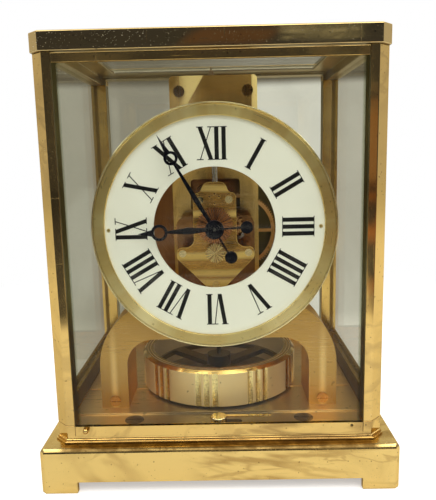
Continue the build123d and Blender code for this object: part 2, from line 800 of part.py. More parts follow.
minute_work_place = along(hand_place, motion_distance, -90)
escape_place = along(hand_place, escape_distance, escape_angle)
intermediate_place = along(hand_place, intermediate_distance, intermediate_angle)
barrel_place = along(intermediate_place, barrel_distance, 0)


def toothed_outline(teeth, pitch_radius, aim):
    """A toothed wheel, with the middle of one tooth at an angle of aim degrees."""
    module = 2 * pitch_radius / teeth
    root = pitch_radius - root_depth_share * module
    tip = pitch_radius + tip_height_share * module
    corner_shares = ((root, -tooth_root_share), (tip, -tooth_tip_share), (tip, tooth_tip_share), (root, tooth_root_share))
    points = []
    for tooth in range(teeth):
        for radius, share in corner_shares:
            angle = radians(aim + 360 * (tooth + share) / teeth)
            points.append((radius * cos(angle), radius * sin(angle)))
    closed_outline(*points)


def gap_aim(teeth, direction):
    """Where a tooth sits when the middle of a gap faces the given direction."""
    return direction + half_turn_angle / teeth


def spoked_hole(rim_radius, wheel_hub_radius, spokes, spoke_width):
    """Opens a wheel between its rim and its hub, and leaves spokes."""
    Circle(rim_radius, mode=Mode.SUBTRACT)
    Circle(wheel_hub_radius)
    with PolarLocations(0, spokes):
        with Locations((rim_radius / 2, 0)):
            Rectangle(rim_radius + spoke_width, spoke_width)


# Centre arbor with the pinion of the motion work in front and the drive pinion behind
cock_inset = 5.8
cock_front = bridge_front + cock_inset
cock_thickness = 2.5
cock_rear = cock_front + cock_thickness
plate_front = bridge_rear
plate_thickness = 3.0
plate_rear = plate_front + plate_thickness
arbor_proud = 1.4
arbor_tail = 4.0
arbor_front = minute_hand_rear - arbor_proud
arbor_rear = plate_rear + arbor_tail
minute_pinion_front = cock_rear + wheel_gap
minute_pinion_length = 2.0
drive_pinion_front = plate_rear + wheel_gap
drive_pinion_length = 2.6

with BuildPart() as centre_arbor:
    with BuildSketch(turning(hand_place)):
        closed_outline(
            (0, arbor_front),
            (hand_post_radius, arbor_front),
            (hand_post_radius, minute_hand_rear),
            (arbor_radius, minute_hand_rear),
            (arbor_radius, arbor_rear),
            (0, arbor_rear),
        )
    revolve(axis=arbor(hand_place))
    with BuildSketch(facing(minute_pinion_front + minute_pinion_length, hand_place)):
        toothed_outline(minute_pinion_teeth,
                        share_of(motion_distance, minute_pinion_teeth, minute_wheel_teeth), -90)
    extrude(amount=minute_pinion_length)
    with BuildSketch(facing(drive_pinion_front + drive_pinion_length, hand_place)):
        toothed_outline(drive_pinion_teeth,
                        share_of(intermediate_distance, drive_pinion_teeth, intermediate_wheel_teeth),
                        intermediate_angle)
    extrude(amount=drive_pinion_length)
centre_arbor.part.label = "centre_arbor"
export_step(centre_arbor.part, "parts/centre_arbor.step")

# Centre wheel, pressed on the centre arbor
wheel_thickness = 1.0
centre_wheel_reach = 11.5
centre_wheel_rear = plate_front - centre_wheel_reach
centre_wheel_hub = 2.6
centre_wheel_spokes = 4
spoke_width = 1.4
rim_width = 1.8
centre_wheel_radius = share_of(escape_distance, centre_wheel_teeth, escape_pinion_teeth)

with BuildPart() as centre_wheel:
    with BuildSketch(facing(centre_wheel_rear, hand_place)):
        toothed_outline(centre_wheel_teeth, centre_wheel_radius, gap_aim(centre_wheel_teeth, escape_angle))
        spoked_hole(centre_wheel_radius - rim_width, centre_wheel_hub, centre_wheel_spokes, spoke_width)
        Circle(arbor_radius + pressed_gap, mode=Mode.SUBTRACT)
    extrude(amount=wheel_thickness)
centre_wheel.part.label = "centre_wheel"
export_step(centre_wheel.part, "parts/centre_wheel.step")

# Hour wheel and its pipe, which turn on the centre arbor in front of the cock
hour_wheel_gap = 2.7
hour_wheel_rear = cock_front - hour_wheel_gap
hour_wheel_radius = share_of(motion_distance, hour_wheel_teeth, hour_pinion_teeth)

with BuildPart() as hour_wheel:
    with BuildSketch(facing(hour_wheel_rear, hand_place)):
        toothed_outline(hour_wheel_teeth, hour_wheel_radius, gap_aim(hour_wheel_teeth, -90))
    extrude(amount=wheel_thickness)
    with BuildSketch(facing(cock_front - running_gap, hand_place)):
        Circle(pipe_radius)
    extrude(amount=cock_front - running_gap - hour_hand_rear + hub_thickness)
    with BuildSketch(facing(cock_front, hand_place)):
        Circle(arbor_radius + running_gap)
    extrude(amount=cock_front - hour_hand_rear + overrun, mode=Mode.SUBTRACT)
hour_wheel.part.label = "hour_wheel"
export_step(hour_wheel.part, "parts/hour_wheel.step")

# Minute wheel behind the cock, on one stud with the small pinion in front of it
stud_radius = 1.0
stud_proud = 4.1
stud_tail = 2.8
stud_end = 0.5
stud_front = cock_front - stud_proud
stud_rear = cock_rear + stud_tail
hour_pinion_lap = 0.2
hour_pinion_rear = hour_wheel_rear + hour_pinion_lap
hour_pinion_length = 1.4
minute_wheel_rear = stud_rear - stud_end
minute_wheel_radius = share_of(motion_distance, minute_wheel_teeth, minute_pinion_teeth)

with BuildPart() as minute_wheel:
    with BuildSketch(facing(stud_rear, minute_work_place)):
        Circle(stud_radius)
    extrude(amount=stud_rear - stud_front)
    with BuildSketch(facing(minute_wheel_rear, minute_work_place)):
        toothed_outline(minute_wheel_teeth, minute_wheel_radius, gap_aim(minute_wheel_teeth, 90))
        spoked_hole(minute_wheel_radius - rim_width, centre_wheel_hub, centre_wheel_spokes, spoke_width)
    extrude(amount=wheel_thickness)
    with BuildSketch(facing(hour_pinion_rear, minute_work_place)):
        toothed_outline(hour_pinion_teeth,
                        share_of(motion_distance, hour_pinion_teeth, hour_wheel_teeth), 90)
    extrude(amount=hour_pinion_length)
minute_wheel.part.label = "minute_wheel"
export_step(minute_wheel.part, "parts/minute_wheel.step")

# Escape wheel with its pinion and arbor
escape_teeth = 15
escape_tip_radius = 6.0
escape_root_radius = 4.5
escape_lean_share = 0.35
escape_land_share = 0.12
escape_wheel_reach = 4.5
escape_wheel_rear = plate_front - escape_wheel_reach
escape_pinion_lap = 1.7
escape_pinion_front = centre_wheel_rear - escape_pinion_lap
escape_pinion_length = 2.4
pivot_radius = 0.6
escape_hub = 1.8

with BuildPart() as escape_wheel:
    with BuildSketch(facing(plate_rear - free_gap, escape_place)):
        Circle(pivot_radius)
    extrude(amount=plate_rear - cock_front - 2 * free_gap)
    with BuildSketch(facing(escape_wheel_rear, escape_place)):
        escape_points = []
        for tooth in range(escape_teeth):
            for radius, share in ((escape_root_radius, 0), (escape_tip_radius, escape_lean_share),
                                  (escape_tip_radius, escape_lean_share + escape_land_share)):
                angle = 2 * pi * (tooth + share) / escape_teeth
                escape_points.append((radius * cos(angle), radius * sin(angle)))
        closed_outline(*escape_points)
        spoked_hole(escape_root_radius - rim_width / 2, escape_hub, centre_wheel_spokes, spoke_width / 2)
    extrude(amount=wheel_thickness)
    with BuildSketch(facing(escape_pinion_front + escape_pinion_length, escape_place)):
        toothed_outline(escape_pinion_teeth,
                        share_of(escape_distance, escape_pinion_teeth, centre_wheel_teeth),
                        escape_angle + half_turn_angle)
    extrude(amount=escape_pinion_length)
escape_wheel.part.label = "escape_wheel"
export_step(escape_wheel.part, "parts/escape_wheel.step")

# Anchor: two pallets under the escape wheel, and a crutch down to a fork over the balance roller
anchor_drop = escape_tip_radius * 2 ** 0.5
anchor_place = along(escape_place, anchor_drop, -90)
pallet_lap = 0.1
anchor_rear = escape_wheel_rear + pallet_lap
anchor_thickness = 1.2
anchor_hub = 1.8
anchor_arm_width = 1.3
elbow_x = 5.9
elbow_z = 3.0
pallet_x = 4.75
pallet_z = 4.0
pallet_width = 1.1
crutch_reach = 4.0
crutch_rear = plate_rear + crutch_reach
crutch_thickness = 1.2
crutch_width = 1.8
fork_drop = 45.3
fork_height = 6.0
fork_bottom = dial_height - fork_drop
fork_top = fork_bottom + fork_height
fork_half_width = 2.6
fork_slot = 1.4
fork_depth = 4.0
fork_clearance = 1.0     # over the roller's pin, for the fork dips as the anchor rocks
pallet_cock_reach = 10.0
pallet_cock_front = plate_front - pallet_cock_reach
pallet_cock_thickness = 1.5
pallet_cock_rear = pallet_cock_front + pallet_cock_thickness

with BuildPart() as anchor:
    with BuildSketch(facing(crutch_rear, anchor_place)):
        Circle(pivot_radius)
    extrude(amount=crutch_rear - pallet_cock_front)
    with BuildSketch(facing(anchor_rear, anchor_place)):
        Circle(anchor_hub)
        for side in (-1, 1):
            closed_outline(
                (0, -anchor_arm_width / 2),
                (side * elbow_x, elbow_z - anchor_arm_width / 2),
                (side * elbow_x, elbow_z + anchor_arm_width / 2),
                (side * (pallet_x + pallet_width / 2), pallet_z + pallet_width / 2),
                (side * pallet_x, pallet_z),
                (side * (pallet_x - pallet_width / 2), elbow_z - anchor_arm_width / 4),
                (0, anchor_arm_width / 2),
            )
    extrude(amount=anchor_thickness)
    with BuildSketch(facing(crutch_rear)):
        with Locations(anchor_place):
            Circle(anchor_hub)
        closed_outline(
            (anchor_place[0] - crutch_width / 2, anchor_place[1]),
            (-crutch_width / 2, fork_top - crutch_width),
            (crutch_width / 2, fork_top - crutch_width),
            (anchor_place[0] + crutch_width / 2, anchor_place[1]),
        )
        slab(-fork_half_width, fork_half_width, fork_bottom, fork_top)
        slab(-fork_slot / 2, fork_slot / 2, fork_bottom, fork_bottom + fork_depth, mode=Mode.SUBTRACT)
    extrude(amount=crutch_thickness)
anchor.part.label = "anchor"
export_step(anchor.part, "parts/anchor.step")

# Cock plate: the shaped golden plate behind the hands
cock_half_width = 11.2
cock_dome_half = 5.4
cock_dome_rise = 22.3
cock_shoulder_x = 7.6
cock_shoulder_rise = 16.6
ear_half_width = 20.4
ear_upper_rise = -11.8
ear_lower_rise = -17.3
cock_foot_half = 2.6
cock_foot_rise = -35.3
dome_rounding = 4.2
shoulder_rounding = 3.0
cock_corner_rounding = 2.4
flare_rounding = 4.5
ear_rounding = 2.7
ear_lower_rounding = 2.4
cock_foot_rounding = 2.0
ear_hole_x = 17.3
ear_hole_rise = -14.8
top_screw_x = 7.5
top_screw_rise = 13.2
foot_screw_rise = -31.7
oil_hole_radius = 0.6
oil_hole_x = 2.4
oil_hole_rises = (16.2, 14.7, 11.1)
oil_holes = from_dial((0, oil_hole_rises[0]), (-oil_hole_x, oil_hole_rises[1]),
                      (oil_hole_x, oil_hole_rises[1]), (0, oil_hole_rises[2]))
cock_screw_radius = 1.9
cock_screw_head = 0.7
cock_stem_radius = 0.8
cock_screw_length = 7.0
cock_screw_places = from_dial(
    (-ear_hole_x, ear_hole_rise), (ear_hole_x, ear_hole_rise),
    (-top_screw_x, top_screw_rise), (top_screw_x, top_screw_rise), (0, foot_screw_rise),
)

with BuildPart() as cock_plate:
    with BuildSketch(facing(cock_rear)):
        with BuildLine():
            half_outline = from_dial(
                (cock_dome_half, cock_dome_rise), (cock_shoulder_x, cock_shoulder_rise),
                (cock_half_width, cock_shoulder_rise), (cock_half_width, ear_upper_rise),
                (ear_half_width, ear_upper_rise), (ear_half_width, ear_lower_rise),
                (cock_foot_half, cock_foot_rise),
            )
            half_radii = (dome_rounding, shoulder_rounding, cock_corner_rounding, flare_rounding,
                          ear_rounding, ear_lower_rounding, cock_foot_rounding)
            other_half = [(-x, z) for x, z in reversed(half_outline)]
            FilletPolyline(*half_outline, *other_half,
                           radius=[*half_radii, *reversed(half_radii)], close=True)
        make_face()
        with Locations(*oil_holes):
            Circle(oil_hole_radius, mode=Mode.SUBTRACT)
        with Locations(*cock_screw_places):
            Circle(cock_stem_radius + pressed_gap, mode=Mode.SUBTRACT)
        with Locations(hand_place):
            Circle(arbor_radius + running_gap, mode=Mode.SUBTRACT)
        with Locations(minute_work_place):
            Circle(stud_radius + running_gap, mode=Mode.SUBTRACT)
        with Locations(escape_place):
            Circle(pivot_radius + running_gap, mode=Mode.SUBTRACT)
    extrude(amount=cock_thickness)
    with BuildSketch(facing(cock_front + cock_screw_head)):
        with Locations(*cock_screw_places):
            Circle(cock_screw_radius + pressed_gap)
    extrude(amount=cock_screw_head, mode=Mode.SUBTRACT)
cock_plate.part.label = "cock_plate"
export_step(cock_plate.part, "parts/cock_plate.step")

with BuildPart() as cock_screws:
    for place in cock_screw_places:
        with BuildSketch(facing(cock_front + cock_screw_head + cock_screw_length, place)):
            Circle(cock_stem_radius)
        extrude(amount=cock_screw_length)
        with BuildSketch(facing(cock_front + cock_screw_head, place)):
            Circle(cock_screw_radius)
        extrude(amount=cock_screw_head)
        with BuildSketch(facing(cock_front + slot_depth / 2, place)):
            Rectangle(2 * cock_screw_radius, slot_width / 2)
        extrude(amount=slot_depth, mode=Mode.SUBTRACT)
cock_screws.part.label = "cock_screws"
export_step(cock_screws.part, "parts/cock_screws.step")

# Movement pillars between the cock and the main plate
pillar_radius = 2.1

with BuildPart() as movement_pillars:
    with BuildSketch(facing(plate_front)):
        with Locations(*cock_screw_places):
            Circle(pillar_radius)
    extrude(amount=plate_front - cock_rear)
    with BuildSketch(facing(cock_front + cock_screw_head + cock_screw_length)):
        with Locations(*cock_screw_places):
            Circle(cock_stem_radius + pressed_gap)
    extrude(amount=cock_screw_length, mode=Mode.SUBTRACT)
movement_pillars.part.label = "movement_pillars"
export_step(movement_pillars.part, "parts/movement_pillars.step")

# Main plate, fastened to the back of the bridge
plate_half_width = 21.8
plate_foot_rise = -54.3
plate_shoulder_rise = 2.2
plate_neck_half = 10.6
plate_top_rise = 20.7
plate_rounding = 5.0
plate_screw_x = 12.0
plate_screw_rise = -46.3
plate_screw_places = from_dial((-plate_screw_x, plate_screw_rise), (plate_screw_x, plate_screw_rise))
plate_screw_radius = 2.4
plate_screw_head = 1.2
plate_screw_stem_radius = 1.2
plate_screw_length = 12.0

with BuildPart() as main_plate:
    with BuildSketch(facing(plate_rear)):
        with BuildLine():
            plate_outline = from_dial(
                (-plate_half_width, plate_foot_rise), (-plate_half_width, plate_shoulder_rise),
                (-plate_neck_half, plate_shoulder_rise), (-plate_neck_half, plate_top_rise),
                (plate_neck_half, plate_top_rise), (plate_neck_half, plate_shoulder_rise),
                (plate_half_width, plate_shoulder_rise), (plate_half_width, plate_foot_rise),
            )
            FilletPolyline(*plate_outline, radius=plate_rounding, close=True)
        make_face()
        with Locations(hand_place):
            Circle(arbor_radius + running_gap, mode=Mode.SUBTRACT)
        with Locations(intermediate_place):
            Circle(stud_radius + running_gap, mode=Mode.SUBTRACT)
        with Locations(escape_place, anchor_place):
            Circle(pivot_radius + running_gap, mode=Mode.SUBTRACT)
        with Locations(*plate_screw_places):
            Circle(plate_screw_stem_radius + pressed_gap, mode=Mode.SUBTRACT)
    extrude(amount=plate_thickness)
main_plate.part.label = "main_plate"
export_step(main_plate.part, "parts/main_plate.step")

# Pallet cock: a small bracket on the main plate that holds the anchor's front pivot
pallet_cock_half_width = 2.4
pallet_cock_foot_drop = 19.3
pallet_cock_foot_height = 6.0
pallet_cock_foot_top = dial_height - pallet_cock_foot_drop
pallet_cock_foot_bottom = pallet_cock_foot_top - pallet_cock_foot_height

with BuildPart() as pallet_cock:
    with BuildSketch(facing(pallet_cock_rear)):
        with Locations(anchor_place):
            Circle(pallet_cock_half_width)
        slab(anchor_place[0] - pallet_cock_half_width, anchor_place[0] + pallet_cock_half_width,
             pallet_cock_foot_bottom, anchor_place[1])
        with Locations(anchor_place):
            Circle(pivot_radius + running_gap, mode=Mode.SUBTRACT)
    extrude(amount=pallet_cock_thickness)
    with BuildSketch(facing(plate_front)):
        slab(anchor_place[0] - pallet_cock_half_width, anchor_place[0] + pallet_cock_half_width,
             pallet_cock_foot_bottom, pallet_cock_foot_top)
    extrude(amount=plate_front - pallet_cock_rear)
pallet_cock.part.label = "pallet_cock"
export_step(pallet_cock.part, "parts/pallet_cock.step")

# Tower plate: the tall polished plate behind the movement
tower_thickness = 3.0
tower_rear = tower_front + tower_thickness
tower_half_width = 25.3
tower_foot_drop = 54.3
tower_gap = 2.5
tower_bottom = dial_height - tower_foot_drop
tower_top = cap_bottom - tower_gap
tower_corner = 1.5
window_half_width = 14.5
window_lift = 3.7
window_height = 18.5
window_bottom = dial_height + window_lift
window_top = window_bottom + window_height
window_rounding = 2.0
tower_screw_x = 19.7
tower_screw_drop = 8.7
tower_screw_z = tower_top - tower_screw_drop
tower_screw_radius = 3.2
tower_screw_head = 1.2
barrel_arbor_radius = 1.5
regulator_x = -1.0
regulator_stem_radius = 0.6
regulator_stem_length = 5.0
lower_pillar_rise = -37.3
spacer_x = 18.5
spacer_rises = (-4.3, -28.3, -49.3)
spacer_places = from_dial((spacer_x, spacer_rises[0]), (-spacer_x, spacer_rises[1]),
                          (spacer_x, spacer_rises[2]), (-spacer_x, spacer_rises[2]))
tower_screw_places = ((-tower_screw_x, tower_screw_z), (tower_screw_x, tower_screw_z))
lower_pillar_places = from_dial((-tower_screw_x, lower_pillar_rise), (tower_screw_x, lower_pillar_rise))

with BuildPart() as tower_plate:
    with BuildSketch(facing(tower_rear)) as tower_outline:
        slab(-tower_half_width, tower_half_width, tower_bottom, tower_top)
        chamfer(tower_outline.vertices().group_by(Axis.Y)[-1], length=tower_corner)
        with Locations(intermediate_place):
            Circle(stud_radius + running_gap, mode=Mode.SUBTRACT)
        with Locations(barrel_place):
            Circle(barrel_arbor_radius + running_gap, mode=Mode.SUBTRACT)
        with Locations(*tower_screw_places, *lower_pillar_places):
            Circle(plate_screw_stem_radius + pressed_gap, mode=Mode.SUBTRACT)
    extrude(amount=tower_thickness)
    with BuildSketch(facing(tower_rear)) as window_outline:
        slab(-window_half_width, window_half_width, window_bottom, window_top)
        fillet(window_outline.vertices(), radius=window_rounding)
    extrude(amount=tower_thickness, mode=Mode.SUBTRACT)
    with BuildSketch(level(tower_top - regulator_stem_length)):
        with Locations((regulator_x, tower_front + tower_thickness / 2)):
            Circle(regulator_stem_radius + running_gap)
    extrude(amount=regulator_stem_length, mode=Mode.SUBTRACT)
tower_plate.part.label = "tower_plate"
export_step(tower_plate.part, "parts/tower_plate.step")

# Spacers that hold the tower behind the main plate, and the bracket and drum behind the tower
spacer_radius = 2.4
bracket_thickness = 3.0
bracket_half_width = 25.0
bracket_lift = 28.7
bracket_drop = 3.5
bracket_bottom = dial_height + bracket_lift
bracket_top = tower_top - bracket_drop
bracket_front = drum_front - bracket_thickness

with BuildPart() as tower_spacers:
    with BuildSketch(facing(tower_front)):
        with Locations(*spacer_places):
            Circle(spacer_radius)
    extrude(amount=tower_front - plate_rear)
    with BuildSketch(facing(bracket_front)):
        with Locations(*tower_screw_places):
            Circle(spacer_radius)
    extrude(amount=bracket_front - tower_rear)
    with BuildSketch(facing(drum_front)):
        with Locations(*lower_pillar_places):
            Circle(spacer_radius)
    extrude(amount=drum_front - tower_rear)
tower_spacers.part.label = "tower_spacers"
export_step(tower_spacers.part, "parts/tower_spacers.step")

with BuildPart() as tower_screws:
    for place in tower_screw_places:
        with BuildSketch(facing(tower_rear, place)):
            Circle(plate_screw_stem_radius)
        extrude(amount=tower_thickness)
        with BuildSketch(facing(tower_front, place)):
            Circle(tower_screw_radius)
        extrude(amount=tower_screw_head)
        with BuildSketch(facing(tower_front - tower_screw_head + slot_depth, place)):
            Rectangle(2 * tower_screw_radius, slot_width)
        extrude(amount=slot_depth, mode=Mode.SUBTRACT)
    for place in plate_screw_places:
        with BuildSketch(facing(plate_rear, place)):
            Circle(plate_screw_stem_radius)
        extrude(amount=plate_thickness)
        with BuildSketch(facing(plate_rear + plate_screw_head, place)):
            Circle(plate_screw_radius)
        extrude(amount=plate_screw_head)
tower_screws.part.label = "tower_screws"
export_step(tower_screws.part, "parts/tower_screws.step")

with BuildPart() as drum_bracket:
    with BuildSketch(facing(drum_front)):
        slab(-bracket_half_width, bracket_half_width, bracket_bottom, bracket_top)
    extrude(amount=bracket_thickness)
drum_bracket.part.label = "drum_bracket"
export_step(drum_bracket.part, "parts/drum_bracket.step")

# Suspension: a bracket on the tower, a tube down to the balance and the wire inside it
tube_radius = 1.55
tube_bore_radius = 0.8
tube_plug = 3.0
wire_radius = 0.2
hanger_rise = 42.7
hanger_height = 12.0
hanger_half_width = 5.0
hanger_reach = 4.0
hanger_front = staff_y - hanger_reach
hanger_bottom = dial_height + hanger_rise
hanger_top = hanger_bottom + hanger_height
tube_top = hanger_bottom + hanger_height / 2
staff_top = fork_top
wire_lap = 4.0
wire_bottom = staff_top - wire_lap
tube_bottom = staff_top + wire_lap

with BuildPart() as suspension_bracket:
    with BuildSketch(level(hanger_bottom)):
        slab(-hanger_half_width, hanger_half_width, hanger_front, tower_front)
        with Locations((0, staff_y)):
            Circle(tube_radius + pressed_gap, mode=Mode.SUBTRACT)
    extrude(amount=tube_top - hanger_bottom)
    with BuildSketch(level(tube_top)):
        slab(-hanger_half_width, hanger_half_width, hanger_front, tower_front)
    extrude(amount=hanger_top - tube_top)
suspension_bracket.part.label = "suspension_bracket"
export_step(suspension_bracket.part, "parts/suspension_bracket.step")

with BuildPart() as suspension_tube:
    with BuildSketch(level(tube_bottom)):
        with Locations((0, staff_y)):
            Circle(tube_radius)
            Circle(tube_bore_radius, mode=Mode.SUBTRACT)
    extrude(amount=tube_top - tube_bottom)
    with BuildSketch(level(tube_top - tube_plug)):
        with Locations((0, staff_y)):
            Circle(tube_radius)
            Circle(wire_radius + pressed_gap, mode=Mode.SUBTRACT)
    extrude(amount=tube_plug)
suspension_tube.part.label = "suspension_tube"
export_step(suspension_tube.part, "parts/suspension_tube.step")

with BuildPart() as suspension_wire:
    with BuildSketch(level(wire_bottom)):
        with Locations((0, staff_y)):
            Circle(wire_radius)
    extrude(amount=tube_top - wire_bottom)
suspension_wire.part.label = "suspension_wire"
export_step(suspension_wire.part, "parts/suspension_wire.step")

# Regulator pointer: a small block on the tower's top edge with an upright pin
pointer_half_width = 1.35
pointer_height = 2.5
pointer_pin_radius = 0.45
pointer_pin_height = 2.2
pointer_y = tower_front + tower_thickness / 2

with BuildPart() as regulator_pointer:
    with BuildSketch(level(tower_top + running_gap)):
        with Locations((regulator_x, pointer_y)):
            Rectangle(2 * pointer_half_width, 2 * pointer_half_width)
    extrude(amount=pointer_height)
    with BuildSketch(level(tower_top - regulator_stem_length + free_gap)):
        with Locations((regulator_x, pointer_y)):
            Circle(regulator_stem_radius)
    extrude(amount=regulator_stem_length)
    with BuildSketch(level(tower_top + pointer_height)):
        with Locations((regulator_x, pointer_y)):
            Circle(pointer_pin_radius)
    extrude(amount=pointer_pin_height)
regulator_pointer.part.label = "regulator_pointer"
export_step(regulator_pointer.part, "parts/regulator_pointer.step")

# Balance: a heavy ring on arms whose staff hangs on the wire. The ring has groups of three upright
# flutes cut in its side, and two thin rings cut in its top.
balance_wall = 6.2
balance_chamfer = 1.7
balance_lower_chamfer = 0.6
flute_groups = 10
flute_first_angle = -98.0
flute_angle_step = 5.8
flute_radius = 4.2
flute_depth = 0.3
flute_reach = balance_radius + flute_radius - flute_depth
ring_cut_insets = (2.6, 4.2)
ring_cut_width = 0.35
ring_cut_depth = 0.3
balance_inner_radius = balance_radius - balance_wall
arm_lift = 5.1
arm_bottom = balance_bottom + arm_lift
arm_thickness = 3.0
arm_width = 7.0
balance_arm_count = 4
balance_hub_radius = 7.0
balance_hub_bottom = floor_top + lock_rise + free_gap
balance_hub_rise = 9.0
balance_hub_top = arm_bottom + balance_hub_rise
staff_radius = 1.3
staff_bore_radius = 0.5
roller_radius = 6.5
roller_drop = 5.0
roller_bottom = fork_bottom - roller_drop
roller_thickness = 1.6
roller_pin_radius = 0.5
roller_pin_reach = 5.8
roller_pin_top = fork_bottom - fork_clearance

with BuildPart() as balance_ring:
    with BuildSketch(level(balance_bottom)):
        with Locations((0, staff_y)):
            Circle(balance_radius)
    extrude(amount=balance_top - balance_bottom)
    chamfer(balance_ring.faces().sort_by(Axis.Z)[-1].edges(), length=balance_chamfer)
    chamfer(balance_ring.faces().sort_by(Axis.Z)[0].edges(), length=balance_lower_chamfer)
    with BuildSketch(level(balance_bottom)):
        with Locations((0, staff_y)):
            Circle(balance_inner_radius)
            for place in (-1, 0, 1):
                first_angle = flute_first_angle + place * flute_angle_step
                with PolarLocations(flute_reach, flute_groups, start_angle=first_angle):
                    Circle(flute_radius)
    extrude(amount=balance_top - balance_bottom, mode=Mode.SUBTRACT)
    for inset in ring_cut_insets:
        with BuildSketch(level(balance_top)):
            with Locations((0, staff_y)):
                Circle(balance_radius - inset)
                Circle(balance_radius - inset - ring_cut_width, mode=Mode.SUBTRACT)
        extrude(amount=-ring_cut_depth, mode=Mode.SUBTRACT)
balance_ring.part.label = "balance_ring"
export_step(balance_ring.part, "parts/balance_ring.step")

with BuildPart() as balance_arms:
    with BuildSketch(level(arm_bottom)) as arm_outline:
        with Locations((0, staff_y)):
            Circle(balance_inner_radius - pressed_gap)
            Circle(balance_inner_radius - rim_width, mode=Mode.SUBTRACT)
            with PolarLocations(0, balance_arm_count, start_angle=half_turn_angle / balance_arm_count):
                with Locations((balance_inner_radius / 2, 0)):
                    Rectangle(balance_inner_radius - rim_width, arm_width)
    extrude(amount=arm_thickness)
    with BuildSketch(level(balance_hub_bottom)):
        with Locations((0, staff_y)):
            Circle(balance_hub_radius)
    extrude(amount=balance_hub_top - balance_hub_bottom)
    with BuildSketch(level(balance_hub_bottom)):
        with Locations((0, staff_y)):
            Circle(staff_radius)
    extrude(amount=staff_top - balance_hub_bottom)
    with BuildSketch(level(wire_bottom - free_gap)):
        with Locations((0, staff_y)):
            Circle(staff_bore_radius)
    extrude(amount=staff_top - wire_bottom + free_gap, mode=Mode.SUBTRACT)
balance_arms.part.label = "balance_arms"
export_step(balance_arms.part, "parts/balance_arms.step")

with BuildPart() as balance_roller:
    with BuildSketch(level(roller_bottom)):
        with Locations((0, staff_y)):
            Circle(roller_radius)
            Circle(staff_radius + pressed_gap, mode=Mode.SUBTRACT)
    extrude(amount=roller_thickness)
    with BuildSketch(level(roller_bottom)):
        with Locations((0, staff_y - roller_pin_reach)):
            Circle(roller_pin_radius)
    extrude(amount=roller_pin_top - roller_bottom)
balance_roller.part.label = "balance_roller"
export_step(balance_roller.part, "parts/balance_roller.step")

# Intermediate wheel: driven by the barrel behind the tower, and drives the centre arbor in front of it
intermediate_wheel_front = drive_pinion_front + wheel_gap
intermediate_arbor_front = plate_front + free_gap
intermediate_pinion_gap = 0.6
intermediate_pinion_front = tower_rear + intermediate_pinion_gap
intermediate_pinion_length = 2.2
intermediate_wheel_radius = share_of(intermediate_distance, intermediate_wheel_teeth, drive_pinion_teeth)

with BuildPart() as intermediate_wheel:
    with BuildSketch(facing(intermediate_pinion_front + intermediate_pinion_length, intermediate_place)):
        Circle(stud_radius)
    extrude(amount=intermediate_pinion_front + intermediate_pinion_length - intermediate_arbor_front)
    with BuildSketch(facing(intermediate_wheel_front + wheel_thickness, intermediate_place)):
        toothed_outline(intermediate_wheel_teeth, intermediate_wheel_radius,
                        gap_aim(intermediate_wheel_teeth, intermediate_angle + half_turn_angle))
        spoked_hole(intermediate_wheel_radius - rim_width, centre_wheel_hub, centre_wheel_spokes, spoke_width)
    extrude(amount=wheel_thickness)
    with BuildSketch(facing(intermediate_pinion_front + intermediate_pinion_length, intermediate_place)):
        toothed_outline(intermediate_pinion_teeth,
                        share_of(barrel_distance, intermediate_pinion_teeth, great_wheel_teeth), 0)
    extrude(amount=intermediate_pinion_length)
intermediate_wheel.part.label = "intermediate_wheel"
export_step(intermediate_wheel.part, "parts/intermediate_wheel.step")

# Great wheel and mainspring barrel, on one arbor between the tower and the drum
great_wheel_front = tower_rear + wheel_gap
great_wheel_thickness = 1.2
great_wheel_radius = share_of(barrel_distance, great_wheel_teeth, intermediate_pinion_teeth)
great_rim_width = 2.6
great_hub = 5.0
great_spokes = 5
great_spoke_width = 1.9
barrel_radius = 14.0
barrel_front = great_wheel_front + great_wheel_thickness
barrel_rear = drum_front - wheel_gap
drum_wall = 1.5

with BuildPart() as great_wheel:
    with BuildSketch(facing(great_wheel_front + great_wheel_thickness, barrel_place)):
        toothed_outline(great_wheel_teeth, great_wheel_radius, gap_aim(great_wheel_teeth, 180))
        spoked_hole(great_wheel_radius - great_rim_width, great_hub, great_spokes, great_spoke_width)
        Circle(barrel_arbor_radius + pressed_gap, mode=Mode.SUBTRACT)
    extrude(amount=great_wheel_thickness)
great_wheel.part.label = "great_wheel"
export_step(great_wheel.part, "parts/great_wheel.step")

with BuildPart() as mainspring_barrel:
    with BuildSketch(facing(barrel_rear, barrel_place)):
        Circle(barrel_radius)
    extrude(amount=barrel_rear - barrel_front)
    with BuildSketch(facing(drum_front + drum_wall, barrel_place)):
        Circle(barrel_arbor_radius)
    extrude(amount=drum_front + drum_wall - tower_front)
mainspring_barrel.part.label = "mainspring_barrel"
export_step(mainspring_barrel.part, "parts/mainspring_barrel.step")

# Drum: the sealed box of the winding, with its cover and the bellows inside it
drum_depth = 37.0
drum_rear = drum_front + drum_depth
drum_place = hand_place
cover_thickness = 1.6
cover_lip = 1.0
bellows_outer_radius = 38.0
bellows_inner_radius = 34.5
bellows_folds = 6
bellows_depth = 21.5
bellows_front = drum_front + drum_wall
bellows_rear = bellows_front + bellows_depth

with BuildPart() as drum:
    with BuildSketch(facing(drum_rear, drum_place)):
        Circle(drum_radius)
    extrude(amount=drum_rear - drum_front)
    with BuildSketch(facing(drum_rear, drum_place)):
        Circle(drum_radius - drum_wall)
    extrude(amount=drum_rear - drum_front - drum_wall, mode=Mode.SUBTRACT)
    with BuildSketch(facing(drum_front + drum_wall, barrel_place)):
        Circle(barrel_arbor_radius + running_gap)
    extrude(amount=drum_wall, mode=Mode.SUBTRACT)
drum.part.label = "drum"
export_step(drum.part, "parts/drum.step")

